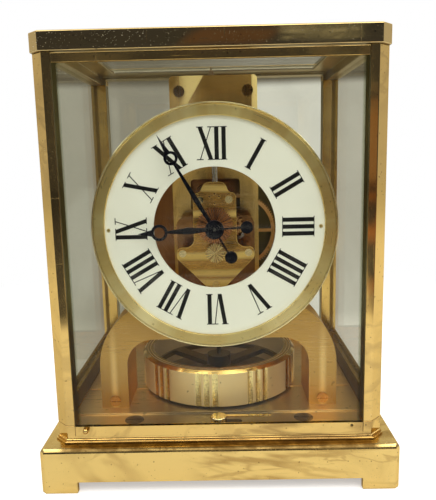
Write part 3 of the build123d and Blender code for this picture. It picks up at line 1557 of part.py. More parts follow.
with BuildPart() as drum_cover:
    with BuildSketch(facing(drum_rear + cover_thickness, drum_place)):
        Circle(drum_radius + cover_lip)
    extrude(amount=cover_thickness)
    chamfer(drum_cover.faces().sort_by(Axis.Y)[-1].edges(), length=cover_lip / 2)
drum_cover.part.label = "drum_cover"
export_step(drum_cover.part, "parts/drum_cover.step")

with BuildPart() as bellows:
    with BuildSketch(turning(drum_place)):
        fold_points = [(0, bellows_front), (bellows_inner_radius, bellows_front)]
        for fold in range(bellows_folds):
            fold_y = bellows_front + (bellows_rear - bellows_front) * (fold + 1 / 2) / bellows_folds
            next_y = bellows_front + (bellows_rear - bellows_front) * (fold + 1) / bellows_folds
            fold_points.append((bellows_outer_radius, fold_y))
            fold_points.append((bellows_inner_radius, next_y))
        fold_points.append((0, bellows_rear))
        closed_outline(*fold_points)
    revolve(axis=arbor(drum_place))
bellows.part.label = "bellows"
export_step(bellows.part, "parts/bellows.step")
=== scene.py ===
"""Finishes, light and camera for a glass-cased table clock with a slow turning balance."""
import math
import bpy
from mathutils import Matrix, Vector


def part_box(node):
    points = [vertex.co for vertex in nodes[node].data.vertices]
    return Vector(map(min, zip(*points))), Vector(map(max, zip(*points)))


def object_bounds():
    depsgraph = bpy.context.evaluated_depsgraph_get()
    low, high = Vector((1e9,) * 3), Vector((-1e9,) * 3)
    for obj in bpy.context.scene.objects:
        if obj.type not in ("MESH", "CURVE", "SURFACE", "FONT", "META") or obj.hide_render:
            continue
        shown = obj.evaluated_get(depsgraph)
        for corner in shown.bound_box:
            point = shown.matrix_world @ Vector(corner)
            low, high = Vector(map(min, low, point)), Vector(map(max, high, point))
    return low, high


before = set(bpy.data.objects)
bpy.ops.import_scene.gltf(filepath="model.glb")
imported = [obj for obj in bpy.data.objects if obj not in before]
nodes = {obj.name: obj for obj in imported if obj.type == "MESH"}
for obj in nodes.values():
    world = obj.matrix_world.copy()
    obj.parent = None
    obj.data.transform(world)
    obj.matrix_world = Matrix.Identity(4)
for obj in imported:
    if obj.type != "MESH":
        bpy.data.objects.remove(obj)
cad_low, cad_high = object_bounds()
scene = bpy.context.scene
scene.view_settings.view_transform = "Standard"
mm = 0.001


# Places that the finishes and the lights refer to, taken from the CAD nodes

def middle(node):
    """The middle of a CAD node's box."""
    low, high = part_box(node)
    return (low + high) / 2


def half_size(box):
    """Half the size of a box along X, Y and Z."""
    low, high = box
    return (high - low) / 2


case_middle = (cad_low + cad_high) / 2
dial_middle = middle("dial_ring")
balance_middle = middle("balance_ring")
drum_middle = middle("drum")
bezel_radius = half_size(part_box("bezel")).x
balance_radius = half_size(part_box("balance_ring")).x
hour_wheel_radius = half_size(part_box("hour_wheel")).z
minute_wheel_radius = half_size(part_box("minute_wheel")).z
leg_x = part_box("bridge_screws")[1].x - half_size(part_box("bridge_screws")).z
post_inner_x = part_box("door_top_rail")[1].x
cap_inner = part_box("top_glass")[1]


# Short calls that build a node tree

class Tree:
    """Calls that add and join the nodes of a material or of the world."""

    def __init__(self, tree):
        self.tree = tree

    def add(self, kind, inputs=None, **settings):
        """Adds a node, sets it up, and links or sets each named input."""
        node = self.tree.nodes.new("ShaderNode" + kind)
        for name, value in settings.items():
            setattr(node, name, value)
        for name, value in (inputs or {}).items():
            self.put(node.inputs[name], value)
        return node

    def put(self, socket, value):
        """Links a socket to another one, or sets its value."""
        if isinstance(value, bpy.types.NodeSocket):
            self.tree.links.new(value, socket)
        elif isinstance(value, tuple) and socket.type == "RGBA":
            socket.default_value = (*value[:3], 1)
        else:
            socket.default_value = value

    def maths(self, operation, first, second=0.0):
        """One sum on two values."""
        node = self.add("Math", operation=operation)
        self.put(node.inputs[0], first)
        self.put(node.inputs[1], second)
        return node.outputs["Value"]

    def times(self, first, *others):
        """The product of several values."""
        for other in others:
            first = self.maths("MULTIPLY", first, other)
        return first

    def plus(self, first, *others):
        """The sum of several values."""
        for other in others:
            first = self.maths("ADD", first, other)
        return first

    def larger(self, first, *others):
        """The largest of several values."""
        for other in others:
            first = self.maths("MAXIMUM", first, other)
        return first

    def less(self, first, second):
        """The first value less the second one."""
        return self.maths("SUBTRACT", first, second)

    def over(self, first, second):
        """The first value divided by the second one."""
        return self.maths("DIVIDE", first, second)

    def unsigned(self, value):
        """A value without its sign."""
        return self.maths("ABSOLUTE", value)

    def between(self, value, low, high, start=0.0, end=1.0):
        """Takes a value from low to high smoothly to start to end."""
        node = self.add("MapRange", {"Value": value, "From Min": low, "From Max": high,
                                     "To Min": start, "To Max": end}, interpolation_type="SMOOTHSTEP")
        return node.outputs["Result"]

    def band(self, value, low, high, soft):
        """1 between two values and 0 outside them, with soft edges."""
        rise = self.between(value, low - soft, low + soft)
        fall = self.between(value, high - soft, high + soft, 1.0, 0.0)
        return self.times(rise, fall)

    def mixed(self, share, first, second):
        """A mix of two colours."""
        node = self.add("Mix", data_type="RGBA")
        self.put(node.inputs["Factor"], share)
        self.put(node.inputs["A"], first)
        self.put(node.inputs["B"], second)
        return node.outputs["Result"]

    def parts_of(self, place):
        """The X, Y and Z of a place."""
        return self.add("SeparateXYZ", {"Vector": place}).outputs

    def noise(self, place, scale, detail=3.0, rough=0.5, bend=0.0):
        """Smooth noise from 0 to 1. The scale is in waves per metre."""
        node = self.add("TexNoise", {"Vector": place, "Scale": scale, "Detail": detail,
                                     "Roughness": rough, "Distortion": bend})
        return node.outputs["Fac"]

    def stretched(self, place, scales, turn=(0, 0, 0)):
        """A place scaled along X, Y and Z, and turned."""
        return self.add("Mapping", {"Vector": place, "Scale": scales, "Rotation": turn}).outputs["Vector"]

    def join(self, kind, first, second, share=None):
        """Adds or mixes two shaders."""
        node = self.add(kind)
        if share is not None:
            self.put(node.inputs["Fac"], share)
        self.put(node.inputs[-2], first)
        self.put(node.inputs[-1], second)
        return node.outputs["Shader"]

    def glow(self, strength, colour=(1, 1, 1)):
        """A surface that gives light by itself."""
        return self.add("Emission", {"Color": colour, "Strength": strength}).outputs["Emission"]

    def backdrop(self, strength, colour=(1, 1, 1)):
        """A colour that the world shows."""
        return self.add("Background", {"Color": colour, "Strength": strength}).outputs["Background"]


class Surface(Tree):
    """A procedural material that starts from a Principled shader."""

    def __init__(self, name):
        self.material = bpy.data.materials.new(name + "_finish")
        self.material.use_nodes = True
        super().__init__(self.material.node_tree)
        self.shader = self.tree.nodes["Principled BSDF"]
        self.place = self.add("TexCoord").outputs["Object"]
        self.x, self.y, self.z = self.parts_of(self.place)

    def grain(self, scale, detail=3.0, rough=0.5, bend=0.0):
        """Noise over the object."""
        return self.noise(self.place, scale, detail, rough, bend)

    def clouds(self, scale, low=0.38, high=0.72, bend=0.6):
        """Soft patches."""
        return self.between(self.grain(scale, 5, 0.58, bend), low, high)

    def lines(self, scales, turn=(0, 0, 0), detail=3, rough=0.6):
        """Noise drawn out into lines."""
        return self.noise(self.stretched(self.place, scales, turn), 1.0, detail, rough)

    def scratches(self, scales, turn, limit):
        """A few thin marks along one direction."""
        return self.between(self.lines(scales, turn, 2, 0.4), limit, limit + 0.04)

    def specks(self, scale, limit):
        """Small scattered spots."""
        return self.between(self.grain(scale, 1, 0.3), limit, limit + 0.03)

    def speckled(self, colour, dark, share, scale=430):
        """A colour with small dark spots."""
        return self.mixed(self.times(self.specks(scale, 0.74), share), colour, dark)

    def dots(self, scale, size, share):
        """Small round dots in some of the cells of a grid. The size is a share of a cell."""
        cells = self.add("TexVoronoi", {"Vector": self.place, "Scale": scale})
        chosen = self.between(self.parts_of(cells.outputs["Color"])[0], 1 - share, 1.01 - share)
        return self.times(self.between(cells.outputs["Distance"], size, 0.6 * size), chosen)

    def painted_crevice_shade(self, reach):
        """1 in corners and narrow gaps, 0 on open faces: where shade is painted. The reach is in metres."""
        openness = self.add("AmbientOcclusion", {"Distance": reach}, samples=4).outputs["AO"]
        return self.between(openness, 0.35, 0.75, 1.0, 0.0)

    def veins(self, scale, width, slope):
        """Soft winding streaks along a slope, where noise passes through its middle value."""
        drawn_out = self.stretched(self.place, (0.42, 1.0, 1.0), (0.3, slope, 0.0))
        winding = self.noise(drawn_out, scale, 4, 0.55, 1.2)
        return self.between(self.unsigned(self.less(winding, 0.5)), 0.0, width, 1.0, 0.0)

    def facing(self):
        """The X, Y and Z of the surface's own direction."""
        return self.parts_of(self.add("NewGeometry").outputs["True Normal"])

    def from_middle(self, centre):
        """The places across and above a centre, seen from the front."""
        return self.less(self.x, centre.x), self.less(self.z, centre.z)

    def fanned(self, aside, above, radius, scale, rough):
        """Noise that changes with the direction from a centre only, so it fans out from there."""
        direction = self.add("CombineXYZ", {"X": self.over(aside, radius), "Y": self.over(above, radius)})
        return self.noise(direction.outputs["Vector"], scale, 4, rough)

    def relief(self, *layers):
        """Bumps, each given as a height from 0 to 1 and its depth in millimetres."""
        normal = None
        for height, depth in layers:
            bump = self.add("Bump", {"Height": height, "Strength": 1.0, "Distance": depth * mm})
            if normal is not None:
                self.put(bump.inputs["Normal"], normal)
            normal = bump.outputs["Normal"]
        self.put(self.shader.inputs["Normal"], normal)

    def set(self, **values):
        """Sets the shader's own sockets."""
        names = {"colour": "Base Color", "metal": "Metallic", "rough": "Roughness",
                 "grain": "Anisotropic", "grain_turn": "Anisotropic Rotation",
                 "shine": "Specular IOR Level", "edge": "Specular Tint"}
        for name, value in values.items():
            self.put(self.shader.inputs[names[name]], value)

    def round_marks(self, centre, axis):
        """Joins the grain to rings about an axis. Returns the radius and the place in rings."""
        pairs = {"Y": ((self.x, centre.x), (self.z, centre.z), self.y),
                 "Z": ((self.x, centre.x), (self.y, centre.y), self.z)}
        first, second, along = pairs[axis]
        squares = [self.maths("POWER", self.less(*pair), 2.0) for pair in (first, second)]
        radius = self.maths("SQRT", self.plus(*squares))
        tangent = self.add("Tangent", direction_type="RADIAL", axis=axis)
        self.put(self.shader.inputs["Tangent"], tangent.outputs["Tangent"])
        self.set(grain_turn=quarter_turn)
        return radius, self.add("CombineXYZ", {"X": radius, "Y": along}).outputs["Vector"]

    def show(self, shader):
        """Shows another shader in place of the Principled one."""
        self.put(self.tree.nodes["Material Output"].inputs["Surface"], shader)
        self.tree.nodes.remove(self.shader)
        return self.material


def shaded(colour, share):
    """A darker version of a colour."""
    return tuple(share * part for part in colour)


# Finishes

quarter_turn = 0.25
low_angle_gold = (0.94, 0.80, 0.56)
dust_colour = (0.62, 0.57, 0.42)
# painted shade in corners and narrow gaps: its colour and its reach
crevice_shade_colour = (0.10, 0.06, 0.02)
crevice_shade_reach = 1.6 * mm
turning_marks = 2600         # rings per metre
bezel_marks = 900
tooth_gap_depth = 1.6 * mm
cock_rim_radius = 0.5 * mm


def gilt(name, gold, stain, marble, dust, shade_and_wear_region=None, shade_and_wear_colour=(0.32, 0.29, 0.21), wave=0.35,
         base_rough=0.05, vein_slope=0.75):
    """Polished gilt brass: smudges, marbled streaks, dust, fine scratches, painted shade in corners and gaps,
    and a darker, rougher region that is painted shade on inner sides and undersides and wear on the plinth's
    top.
    """
    s = Surface(name)
    smudge = s.times(s.clouds(20, 0.5, 0.8), 0.55)
    patch = s.between(s.grain(11, 2), 0.42, 0.60)
    vein = s.larger(s.veins(21, 0.06, vein_slope), s.times(s.veins(36, 0.05, vein_slope - 1.25), 0.7))
    dirt = s.larger(smudge, s.times(vein, patch, marble))
    tone = s.mixed(s.grain(8, 2), gold, shaded(gold, 0.93))
    colour = s.mixed(dirt, tone, stain)
    spots = s.times(s.specks(700, 0.73), 0.8)
    colour = s.mixed(spots, colour, shaded(stain, 0.45))
    scratch = s.larger(s.scratches((900, 900, 22), (0.0, 0.04, 0.0), 0.7),
                       s.scratches((24, 800, 800), (0.0, 0.06, 0.0), 0.72),
                       s.scratches((10, 600, 600), (0.4, 0.8, 0.3), 0.74))
    dusty = s.between(s.grain(16, 2), 0.42, 0.62, 0.25, 1.0)
    dust_share = dust(s) if callable(dust) else dust
    motes = s.times(s.larger(s.dots(620, 0.17, 0.5), s.dots(1300, 0.2, 0.5)), dusty, dust_share)
    colour = s.mixed(motes, colour, dust_colour)
    metal = s.less(1.0, s.times(motes, 0.8))
    haze = s.between(s.grain(55, 4, 0.6), 0.4, 0.8, base_rough, base_rough + 0.05)
    rough = s.plus(haze, s.times(dirt, 0.18), s.times(scratch, 0.14), s.times(motes, 0.4))
    # Painted shade: a darker colour and more roughness in corners and narrow gaps
    painted_crevice_shade = s.painted_crevice_shade(crevice_shade_reach)
    colour = s.mixed(s.times(painted_crevice_shade, 0.75), colour, crevice_shade_colour)
    rough = s.plus(rough, s.times(painted_crevice_shade, 0.2))
    # A darker, rougher region: painted shade on inner sides and undersides, and wear and dust on the plinth's
    # top
    if shade_and_wear_region:
        dull = shade_and_wear_region(s)
        colour = s.mixed(dull, colour, shade_and_wear_colour)
        rough = s.plus(rough, s.times(dull, 0.25))
    s.set(colour=colour, metal=metal, rough=rough, edge=low_angle_gold)
    s.relief((s.grain(13, 1), wave), (s.plus(s.grain(70, 2), s.times(scratch, -0.5)), 0.012))
    return s.material


def brushed(name, gold, shade, stretch, rough, depth, grain, grain_turn=0.0, metal=1.0,
            painted_light_region=None, painted_light_colour=None):
    """Brass with straight brushing. The stretch is the waves per metre along X, Y and Z."""
    s = Surface(name)
    lines = s.lines(stretch, detail=4, rough=0.65)
    clouds = s.clouds(22)
    colour = s.mixed(s.times(clouds, 0.6), gold, shade)
    colour = s.mixed(s.times(s.between(lines, 0.35, 0.75), 0.12), colour, shade)
    colour = s.speckled(colour, shaded(shade, 0.4), 0.5, 420)
    # A painted light region gets a colour of its own: painted shade or a painted reflection streak
    if painted_light_region:
        colour = s.mixed(painted_light_region(s), colour, painted_light_colour)
    s.set(colour=colour, metal=metal, grain=grain, grain_turn=grain_turn, edge=low_angle_gold)
    s.set(rough=s.plus(s.between(lines, 0.25, 0.75, rough - 0.05, rough + 0.05), s.times(clouds, 0.07)))
    s.relief((lines, depth), (s.grain(16, 1), 0.12))
    return s.material


def turned(name, gold, shade, centre, axis, rough, depth=0.004, grain=0.8, painted_light_region=None, painted_light_colour=None):
    """Brass with turning marks, rings about an axis through a centre."""
    s = Surface(name)
    _, ring_place = s.round_marks(centre, axis)
    rings = s.noise(ring_place, turning_marks, 3, 0.6)
    wide_rings = s.noise(ring_place, turning_marks / 8, 2)
    clouds = s.clouds(24)
    colour = s.mixed(s.times(s.between(wide_rings, 0.3, 0.7), 0.2), gold, shade)
    colour = s.mixed(s.times(clouds, 0.45), colour, shade)
    colour = s.speckled(colour, shaded(shade, 0.4), 0.6)
    # A painted light region gets a colour of its own: painted shade
    if painted_light_region:
        colour = s.mixed(painted_light_region(s), colour, painted_light_colour)
    s.set(colour=colour, metal=1.0, grain=grain, edge=low_angle_gold)
    s.set(rough=s.plus(s.between(rings, 0.2, 0.8, rough - 0.03, rough + 0.03), s.times(clouds, 0.05)))
    s.relief((rings, depth), (wide_rings, depth * 2))
    return s.material


def wheel_with_painted_rays(name, gold, shade, centre, radius, teeth, ray_count):
    """A small wheel with painted glints in rays, and the gaps of its teeth marked on its rim."""
    s = Surface(name)
    aside, above = s.from_middle(centre)
    away = s.maths("SQRT", s.plus(s.times(aside, aside), s.times(above, above)))
    # Painted glints: rays of the brighter colour that fan out from the centre
    rays = s.between(s.fanned(aside, above, away, ray_count, 0.7), 0.42, 0.62)
    angle = s.maths("ARCTAN2", above, aside)
    gaps = s.times(s.between(s.maths("COSINE", s.times(angle, teeth)), -0.2, 0.4),
                   s.between(away, radius - tooth_gap_depth, radius - 0.75 * tooth_gap_depth))
    colour = s.mixed(s.larger(gaps, s.less(1.0, rays)), gold, shade)
    s.set(colour=colour, metal=1.0, rough=s.plus(s.times(rays, 0.14), 0.2), edge=low_angle_gold)
    s.relief((rays, 0.02), (gaps, -0.05))
    return s.material


def sheet(name, gold, shade, bright):
    """The tall polished plate, with a painted reflection of a window: a bright wedge and a bright right edge.
    """
    s = Surface(name)
    low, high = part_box("tower_plate")
    width = high.x - low.x
    across = s.over(s.less(s.x, low.x), width)
    drop = s.over(s.less(high.z, s.z), width)
    sloped = s.plus(across, s.times(drop, 0.6))
    # Painted reflection: the wedge and the right edge take the bright colour, fading lower down
    wedge = s.times(s.between(across, 0.04, 0.22), s.between(sloped, 0.37, 0.41, 1.0, 0.0))
    edge = s.between(across, 0.92, 0.96)
    light = s.times(s.larger(wedge, edge), s.between(drop, 0.5, 0.9, 1.0, 0.25))
    marks = s.lines((700, 700, 20), detail=3)
    colour = s.mixed(s.times(s.clouds(14), 0.6), gold, shade)
    colour = s.mixed(light, colour, bright)
    colour = s.mixed(s.times(s.dots(900, 0.22, 0.3), 0.5), colour, shaded(shade, 0.4))
    s.set(colour=colour, metal=1.0, grain=0.85, grain_turn=quarter_turn, edge=low_angle_gold)
    s.set(rough=s.plus(s.between(marks, 0.3, 0.7, 0.16, 0.20), s.times(light, 0.26)))
    s.relief((s.grain(18, 1), 0.1), (marks, 0.0004))
    return s.material


# Where the painted reflection bands start and end, as shares of the cock plate's height
painted_band_shares = ((0.05, 0.12), (0.145, 0.20), (0.30, 0.36), (0.69, 0.74), (0.92, 0.975))


def banded(name, gold, shade):
    """The cock plate: fine marks across it, painted reflection bands across it, and a painted highlight on
    its rim.
    """
    s = Surface(name)
    low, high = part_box("cock_plate")
    rise = s.over(s.less(s.z, low.z), high.z - low.z)
    wavy = s.plus(rise, s.times(s.lines((60, 60, 12), detail=1), 0.04), -0.02)
    # Painted reflection bands, with wavy edges
    light = s.larger(*[s.band(wavy, start, end, 0.018) for start, end in painted_band_shares])
    marks = s.lines((90, 300, 3200), detail=2)
    light = s.times(light, s.between(marks, 0.3, 0.6, 0.88, 1.0))
    # Painted highlight on the rim, found from the rounded normal of a Bevel node
    rounded = s.parts_of(s.add("Bevel", {"Radius": cock_rim_radius}, samples=4).outputs["Normal"])[1]
    rim = s.between(s.unsigned(rounded), 0.97, 0.9)
    light = s.larger(light, s.times(rim, 0.9))
    colour = s.mixed(s.times(s.clouds(60), 0.4), shade, shaded(shade, 0.7))
    colour = s.mixed(s.plus(s.times(light, 0.85), s.between(marks, 0.35, 0.7, 0.0, 0.05)), colour, gold)
    colour = s.mixed(s.times(s.dots(900, 0.2, 0.3), 0.6), colour, shaded(shade, 0.4))
    s.set(colour=colour, metal=1.0, grain=0.4, grain_turn=quarter_turn)
    s.set(rough=s.plus(s.between(marks, 0.3, 0.7, 0.24, 0.28), s.times(light, 0.24)))
    s.relief((marks, 0.001))
    return s.material


flute_groups = 10
flute_first_angle = -8.0     # the middle of one group, in degrees from the front
flute_spacing = 5.8          # in degrees
flute_half_width = 2.1       # in degrees
flute_depth = 1.2 * mm
ring_wall = 6.0 * mm
flute_mottle = (0.30, 0.19, 0.07)
ring_inner_painted_shade = (0.19, 0.145, 0.07)
ring_specks = (0.22, 0.15, 0.07)
ring_sides_painted_light = (1.0, 0.76, 0.42)
ring_top = (0.90, 0.60, 0.20)


def fluted(name, satin, bright):
    """The balance ring: satin brass with groups of three upright flutes painted bright as reflection streaks,
    its sides painted lighter, and painted shade on its inner side.
    """
    s = Surface(name)
    radius, ring_place = s.round_marks(balance_middle, "Z")
    rings = s.noise(ring_place, turning_marks, 3, 0.6)
    from_front = s.maths("ARCTAN2", s.less(s.x, balance_middle.x), s.less(balance_middle.y, s.y))
    turns = s.times(s.less(from_front, math.radians(flute_first_angle)), flute_groups / math.tau)
    offset = s.times(s.less(s.maths("FRACT", s.plus(turns, 0.5)), 0.5), 360 / flute_groups)
    hollows = [s.between(s.unsigned(s.less(offset, place)), flute_half_width, 0.85 * flute_half_width)
               for place in (-flute_spacing, 0, flute_spacing)]
    outer_side = s.between(radius, balance_radius - flute_depth, balance_radius - 0.75 * flute_depth)
    flutes = s.times(s.larger(*hollows), outer_side)
    inner = s.between(radius, balance_radius - ring_wall + 0.1 * mm, balance_radius - ring_wall - 0.1 * mm)
    mottle = s.times(flutes, s.between(s.grain(900, 2), 0.5, 0.62, 0.0, 0.35))
    _, _, up = s.facing()
    top = s.between(up, 0.3, 0.7)
    aside = s.between(s.unsigned(from_front), 0.55, 1.1)
    colour = s.mixed(s.times(s.clouds(24), 0.3), satin, shaded(satin, 0.82))
    # Painted reflection: the flutes take the bright colour, with a lower roughness
    colour = s.mixed(flutes, colour, bright)
    colour = s.mixed(mottle, colour, flute_mottle)
    # Painted shade on the inner wall
    colour = s.mixed(inner, colour, ring_inner_painted_shade)
    colour = s.speckled(colour, ring_specks, 0.6)
    # Painted light: the sides, away from the front, get a lighter colour and less metal
    colour = s.mixed(s.times(aside, 0.7), colour, ring_sides_painted_light)
    colour = s.mixed(top, colour, ring_top)
    satin_metal = s.less(0.72, s.times(aside, 0.45))
    s.set(colour=colour, metal=s.larger(satin_metal, s.larger(flutes, top)), grain=0.5)
    s.set(rough=s.plus(s.between(rings, 0.2, 0.8, 0.40, 0.44), s.times(flutes, -0.16), s.times(top, -0.24),
                       s.times(inner, -0.1)))
    s.relief((rings, 0.002))
    return s.material


rim_width = 1.3 * mm
rim_line = 1.7 * mm          # a dark line starts this far inside the bezel's outer edge
rim_step = 0.3 * mm
glint_start = 34             # the painted glints' angles from straight down, to either side, in degrees
glint_end = 48
glint_soft = 15
bezel_shadow = (0.14, 0.10, 0.03)


def bezel_with_painted_glints(name, gold, shade, bright):
    """The dial's bezel: turned brass with painted glints, painted reflection sweeps that fan out from the
    middle, painted shade on its lower half, and a polished rim painted bright.
    """
    s = Surface(name)
    radius, ring_place = s.round_marks(dial_middle, "Y")
    rings = s.noise(ring_place, bezel_marks, 3, 0.6)
    aside, above = s.from_middle(dial_middle)
    fan = s.between(s.fanned(aside, above, radius, 3.4, 0.6), 0.4, 0.62)
    from_below = s.maths("ARCTAN2", s.unsigned(aside), s.times(above, -1.0))
    painted_glint = s.band(from_below, *map(math.radians, (glint_start, glint_end, glint_soft)))
    painted_glint = s.times(painted_glint, s.between(fan, 0.0, 1.0, 1.0, 0.6))
    rim = s.between(radius, bezel_radius - rim_width, bezel_radius - rim_width + rim_step)
    line = s.band(radius, bezel_radius - rim_line, bezel_radius - rim_line + rim_step, rim_step / 2)
    low_half = s.between(s.z, dial_middle.z + 10 * mm, dial_middle.z - 50 * mm, 0.0, 0.36)
    # Painted reflection sweeps, fanning out from the middle
    colour = s.mixed(s.times(fan, 0.6), gold, shade)
    colour = s.mixed(s.times(low_half, s.less(1.0, painted_glint)), colour, bezel_shadow)
    colour = s.mixed(painted_glint, colour, bright)
    colour = s.mixed(s.times(line, 0.5), colour, shaded(shade, 0.4))
    colour = s.speckled(colour, shaded(shade, 0.4), 0.5)
    # Painted highlight on the polished rim
    colour = s.mixed(s.times(rim, 0.8), colour, bright)
    s.set(colour=colour, metal=s.less(1.0, s.times(painted_glint, 0.3)), grain=0.5, edge=low_angle_gold)
    s.set(rough=s.plus(s.between(rings, 0.2, 0.8, 0.31, 0.37), s.times(rim, -0.18), s.times(fan, -0.05)))
    s.relief((rings, 0.0008), (s.clouds(24), 0.002))
    return s.material


def steel(name, colour, light, rough, metal=1.0):
    """Blued or blackened steel with soft clouds and fine grinding marks."""
    s = Surface(name)
    clouds = s.clouds(160, 0.35, 0.7)
    marks = s.lines((900, 900, 160), (0.0, 0.7, 0.0))
    s.set(colour=s.mixed(s.times(clouds, 0.6), colour, light), metal=metal)
    s.set(rough=s.between(marks, 0.3, 0.7, rough - 0.06, rough + 0.1))
    s.relief((marks, 0.002))
    return s.material


def paint(name, colour, shade, rough, shine=0.5):
    """Matt paint with a faint mottle, dust and a fine orange-peel."""
    s = Surface(name)
    toned = s.mixed(s.times(s.clouds(40, 0.35, 0.75, 0.3), 0.5), colour, shade)
    s.set(colour=s.mixed(s.times(s.specks(900, 0.78), 0.3), toned, shaded(shade, 0.6)), shine=shine)
    s.set(rough=s.between(s.grain(500, 3), 0.3, 0.7, rough - 0.06, rough + 0.06))
    s.relief((s.grain(1500, 2), 0.0015))
    return s.material


def glass(name, tint, reflection, rim=0.0, rim_tint=None):
    """Clear glass: light passes straight on and more is mirrored at a low angle. A rim is greenish."""
    s = Surface(name)
    low_angle = s.maths("POWER", s.add("LayerWeight", {"Blend": 0.5}).outputs["Facing"], 5.0)
    smears = s.between(s.grain(24, 4, 0.6, 1.0), 0.4, 0.8, reflection, reflection * 1.7)
    mirrored = s.plus(smears, s.times(low_angle, 0.4))
    colour = s.mixed(s.times(s.clouds(30, 0.45, 0.85), 0.35), tint, shaded(tint, 0.93))
    if rim:
        from_rim = s.less(post_inner_x, s.unsigned(s.x))
        colour = s.mixed(s.between(from_rim, rim, 0.4 * rim), colour, rim_tint)
    clear = s.add("BsdfTransparent", {"Color": colour}).outputs["BSDF"]
    gloss = s.add("BsdfGlossy", {"Color": (1, 1, 1), "Roughness": 0.02}).outputs["BSDF"]
    return s.show(s.join("MixShader", clear, gloss, mirrored))


# Regions of a piece that have a colour of their own: painted shade, painted reflection, dust and wear, from 0
# outside to 1 within

cap_side_wall = 9.5 * mm     # the cap's inner walls lie nearer to the top glass's edge than this
cap_rear_wall = 11.0 * mm
cap_wall_fade = 0.5 * mm
# the width, soft edges and fading heights of the painted reflection streak on the bridge's legs
streak_half_width = 1.4 * mm
streak_soft = 1.3 * mm
streak_fade = (55 * mm, 85 * mm)


def painted_shade_on_inner_sides(s):
    """The sides of the posts and rails that look into the case, where shade is painted."""
    across, _, _ = s.facing()
    return s.between(s.times(across, s.maths("SIGN", s.x)), -0.5, -0.9)


def cap_dust(s):
    """Dust, mostly at the left end of the cap."""
    return s.between(s.x, -30 * mm, -5 * mm, 1.0, 0.35)


def worn_top(s):
    """The faces of the plinth that look up: dull and dusty, less so towards the corners."""
    _, _, up = s.facing()
    near_corner = s.between(s.unsigned(s.x), post_inner_x + 4 * mm, post_inner_x + 9 * mm, 1.0, 0.35)
    mottle = s.between(s.grain(130, 4, 0.7), 0.35, 0.6, 0.8, 1.0)
    return s.times(s.between(up, 0.2, 0.6), near_corner, mottle)


def painted_shade_under_cap(s):
    """The underside and the inner walls of the cap, where shade is painted."""
    _, _, up = s.facing()
    under = s.between(up, -0.4, -0.9)
    side_wall_x = cap_inner.x + cap_side_wall
    rear_wall_y = cap_inner.y + cap_rear_wall
    side = s.between(s.unsigned(s.x), side_wall_x, side_wall_x - cap_wall_fade)
    back = s.between(s.unsigned(s.y), rear_wall_y, rear_wall_y - cap_wall_fade)
    low = s.between(s.z, cap_inner.z - 0.2 * mm, cap_inner.z - 0.4 * mm)
    return s.times(low, s.larger(under, s.times(side, back)))


def painted_shade_right_of_tower(s):
    """The part of the drum's front face right of the tower plate, painted dark as shade."""
    return s.times(s.between(s.x, 8 * mm, 16 * mm), s.between(s.facing()[1], -0.5, -0.9))


def painted_shade_under_balance(s):
    """The middle of the floor under the balance, painted dark as its shade and as the reflection of its dark
    underside.
    """
    return s.between(s.unsigned(s.x), 20 * mm, 48 * mm, 0.8, 0.0)


def painted_leg_streak(s):
    """The upright painted reflection streak on each leg of the bridge."""
    aside = s.less(s.unsigned(s.x), leg_x)
    return s.times(s.band(aside, -streak_half_width, streak_half_width, streak_soft),
                   s.between(s.z, *streak_fade, 0.75, 0.0))


# The finish of each material slot, and of the nodes that have one of their own

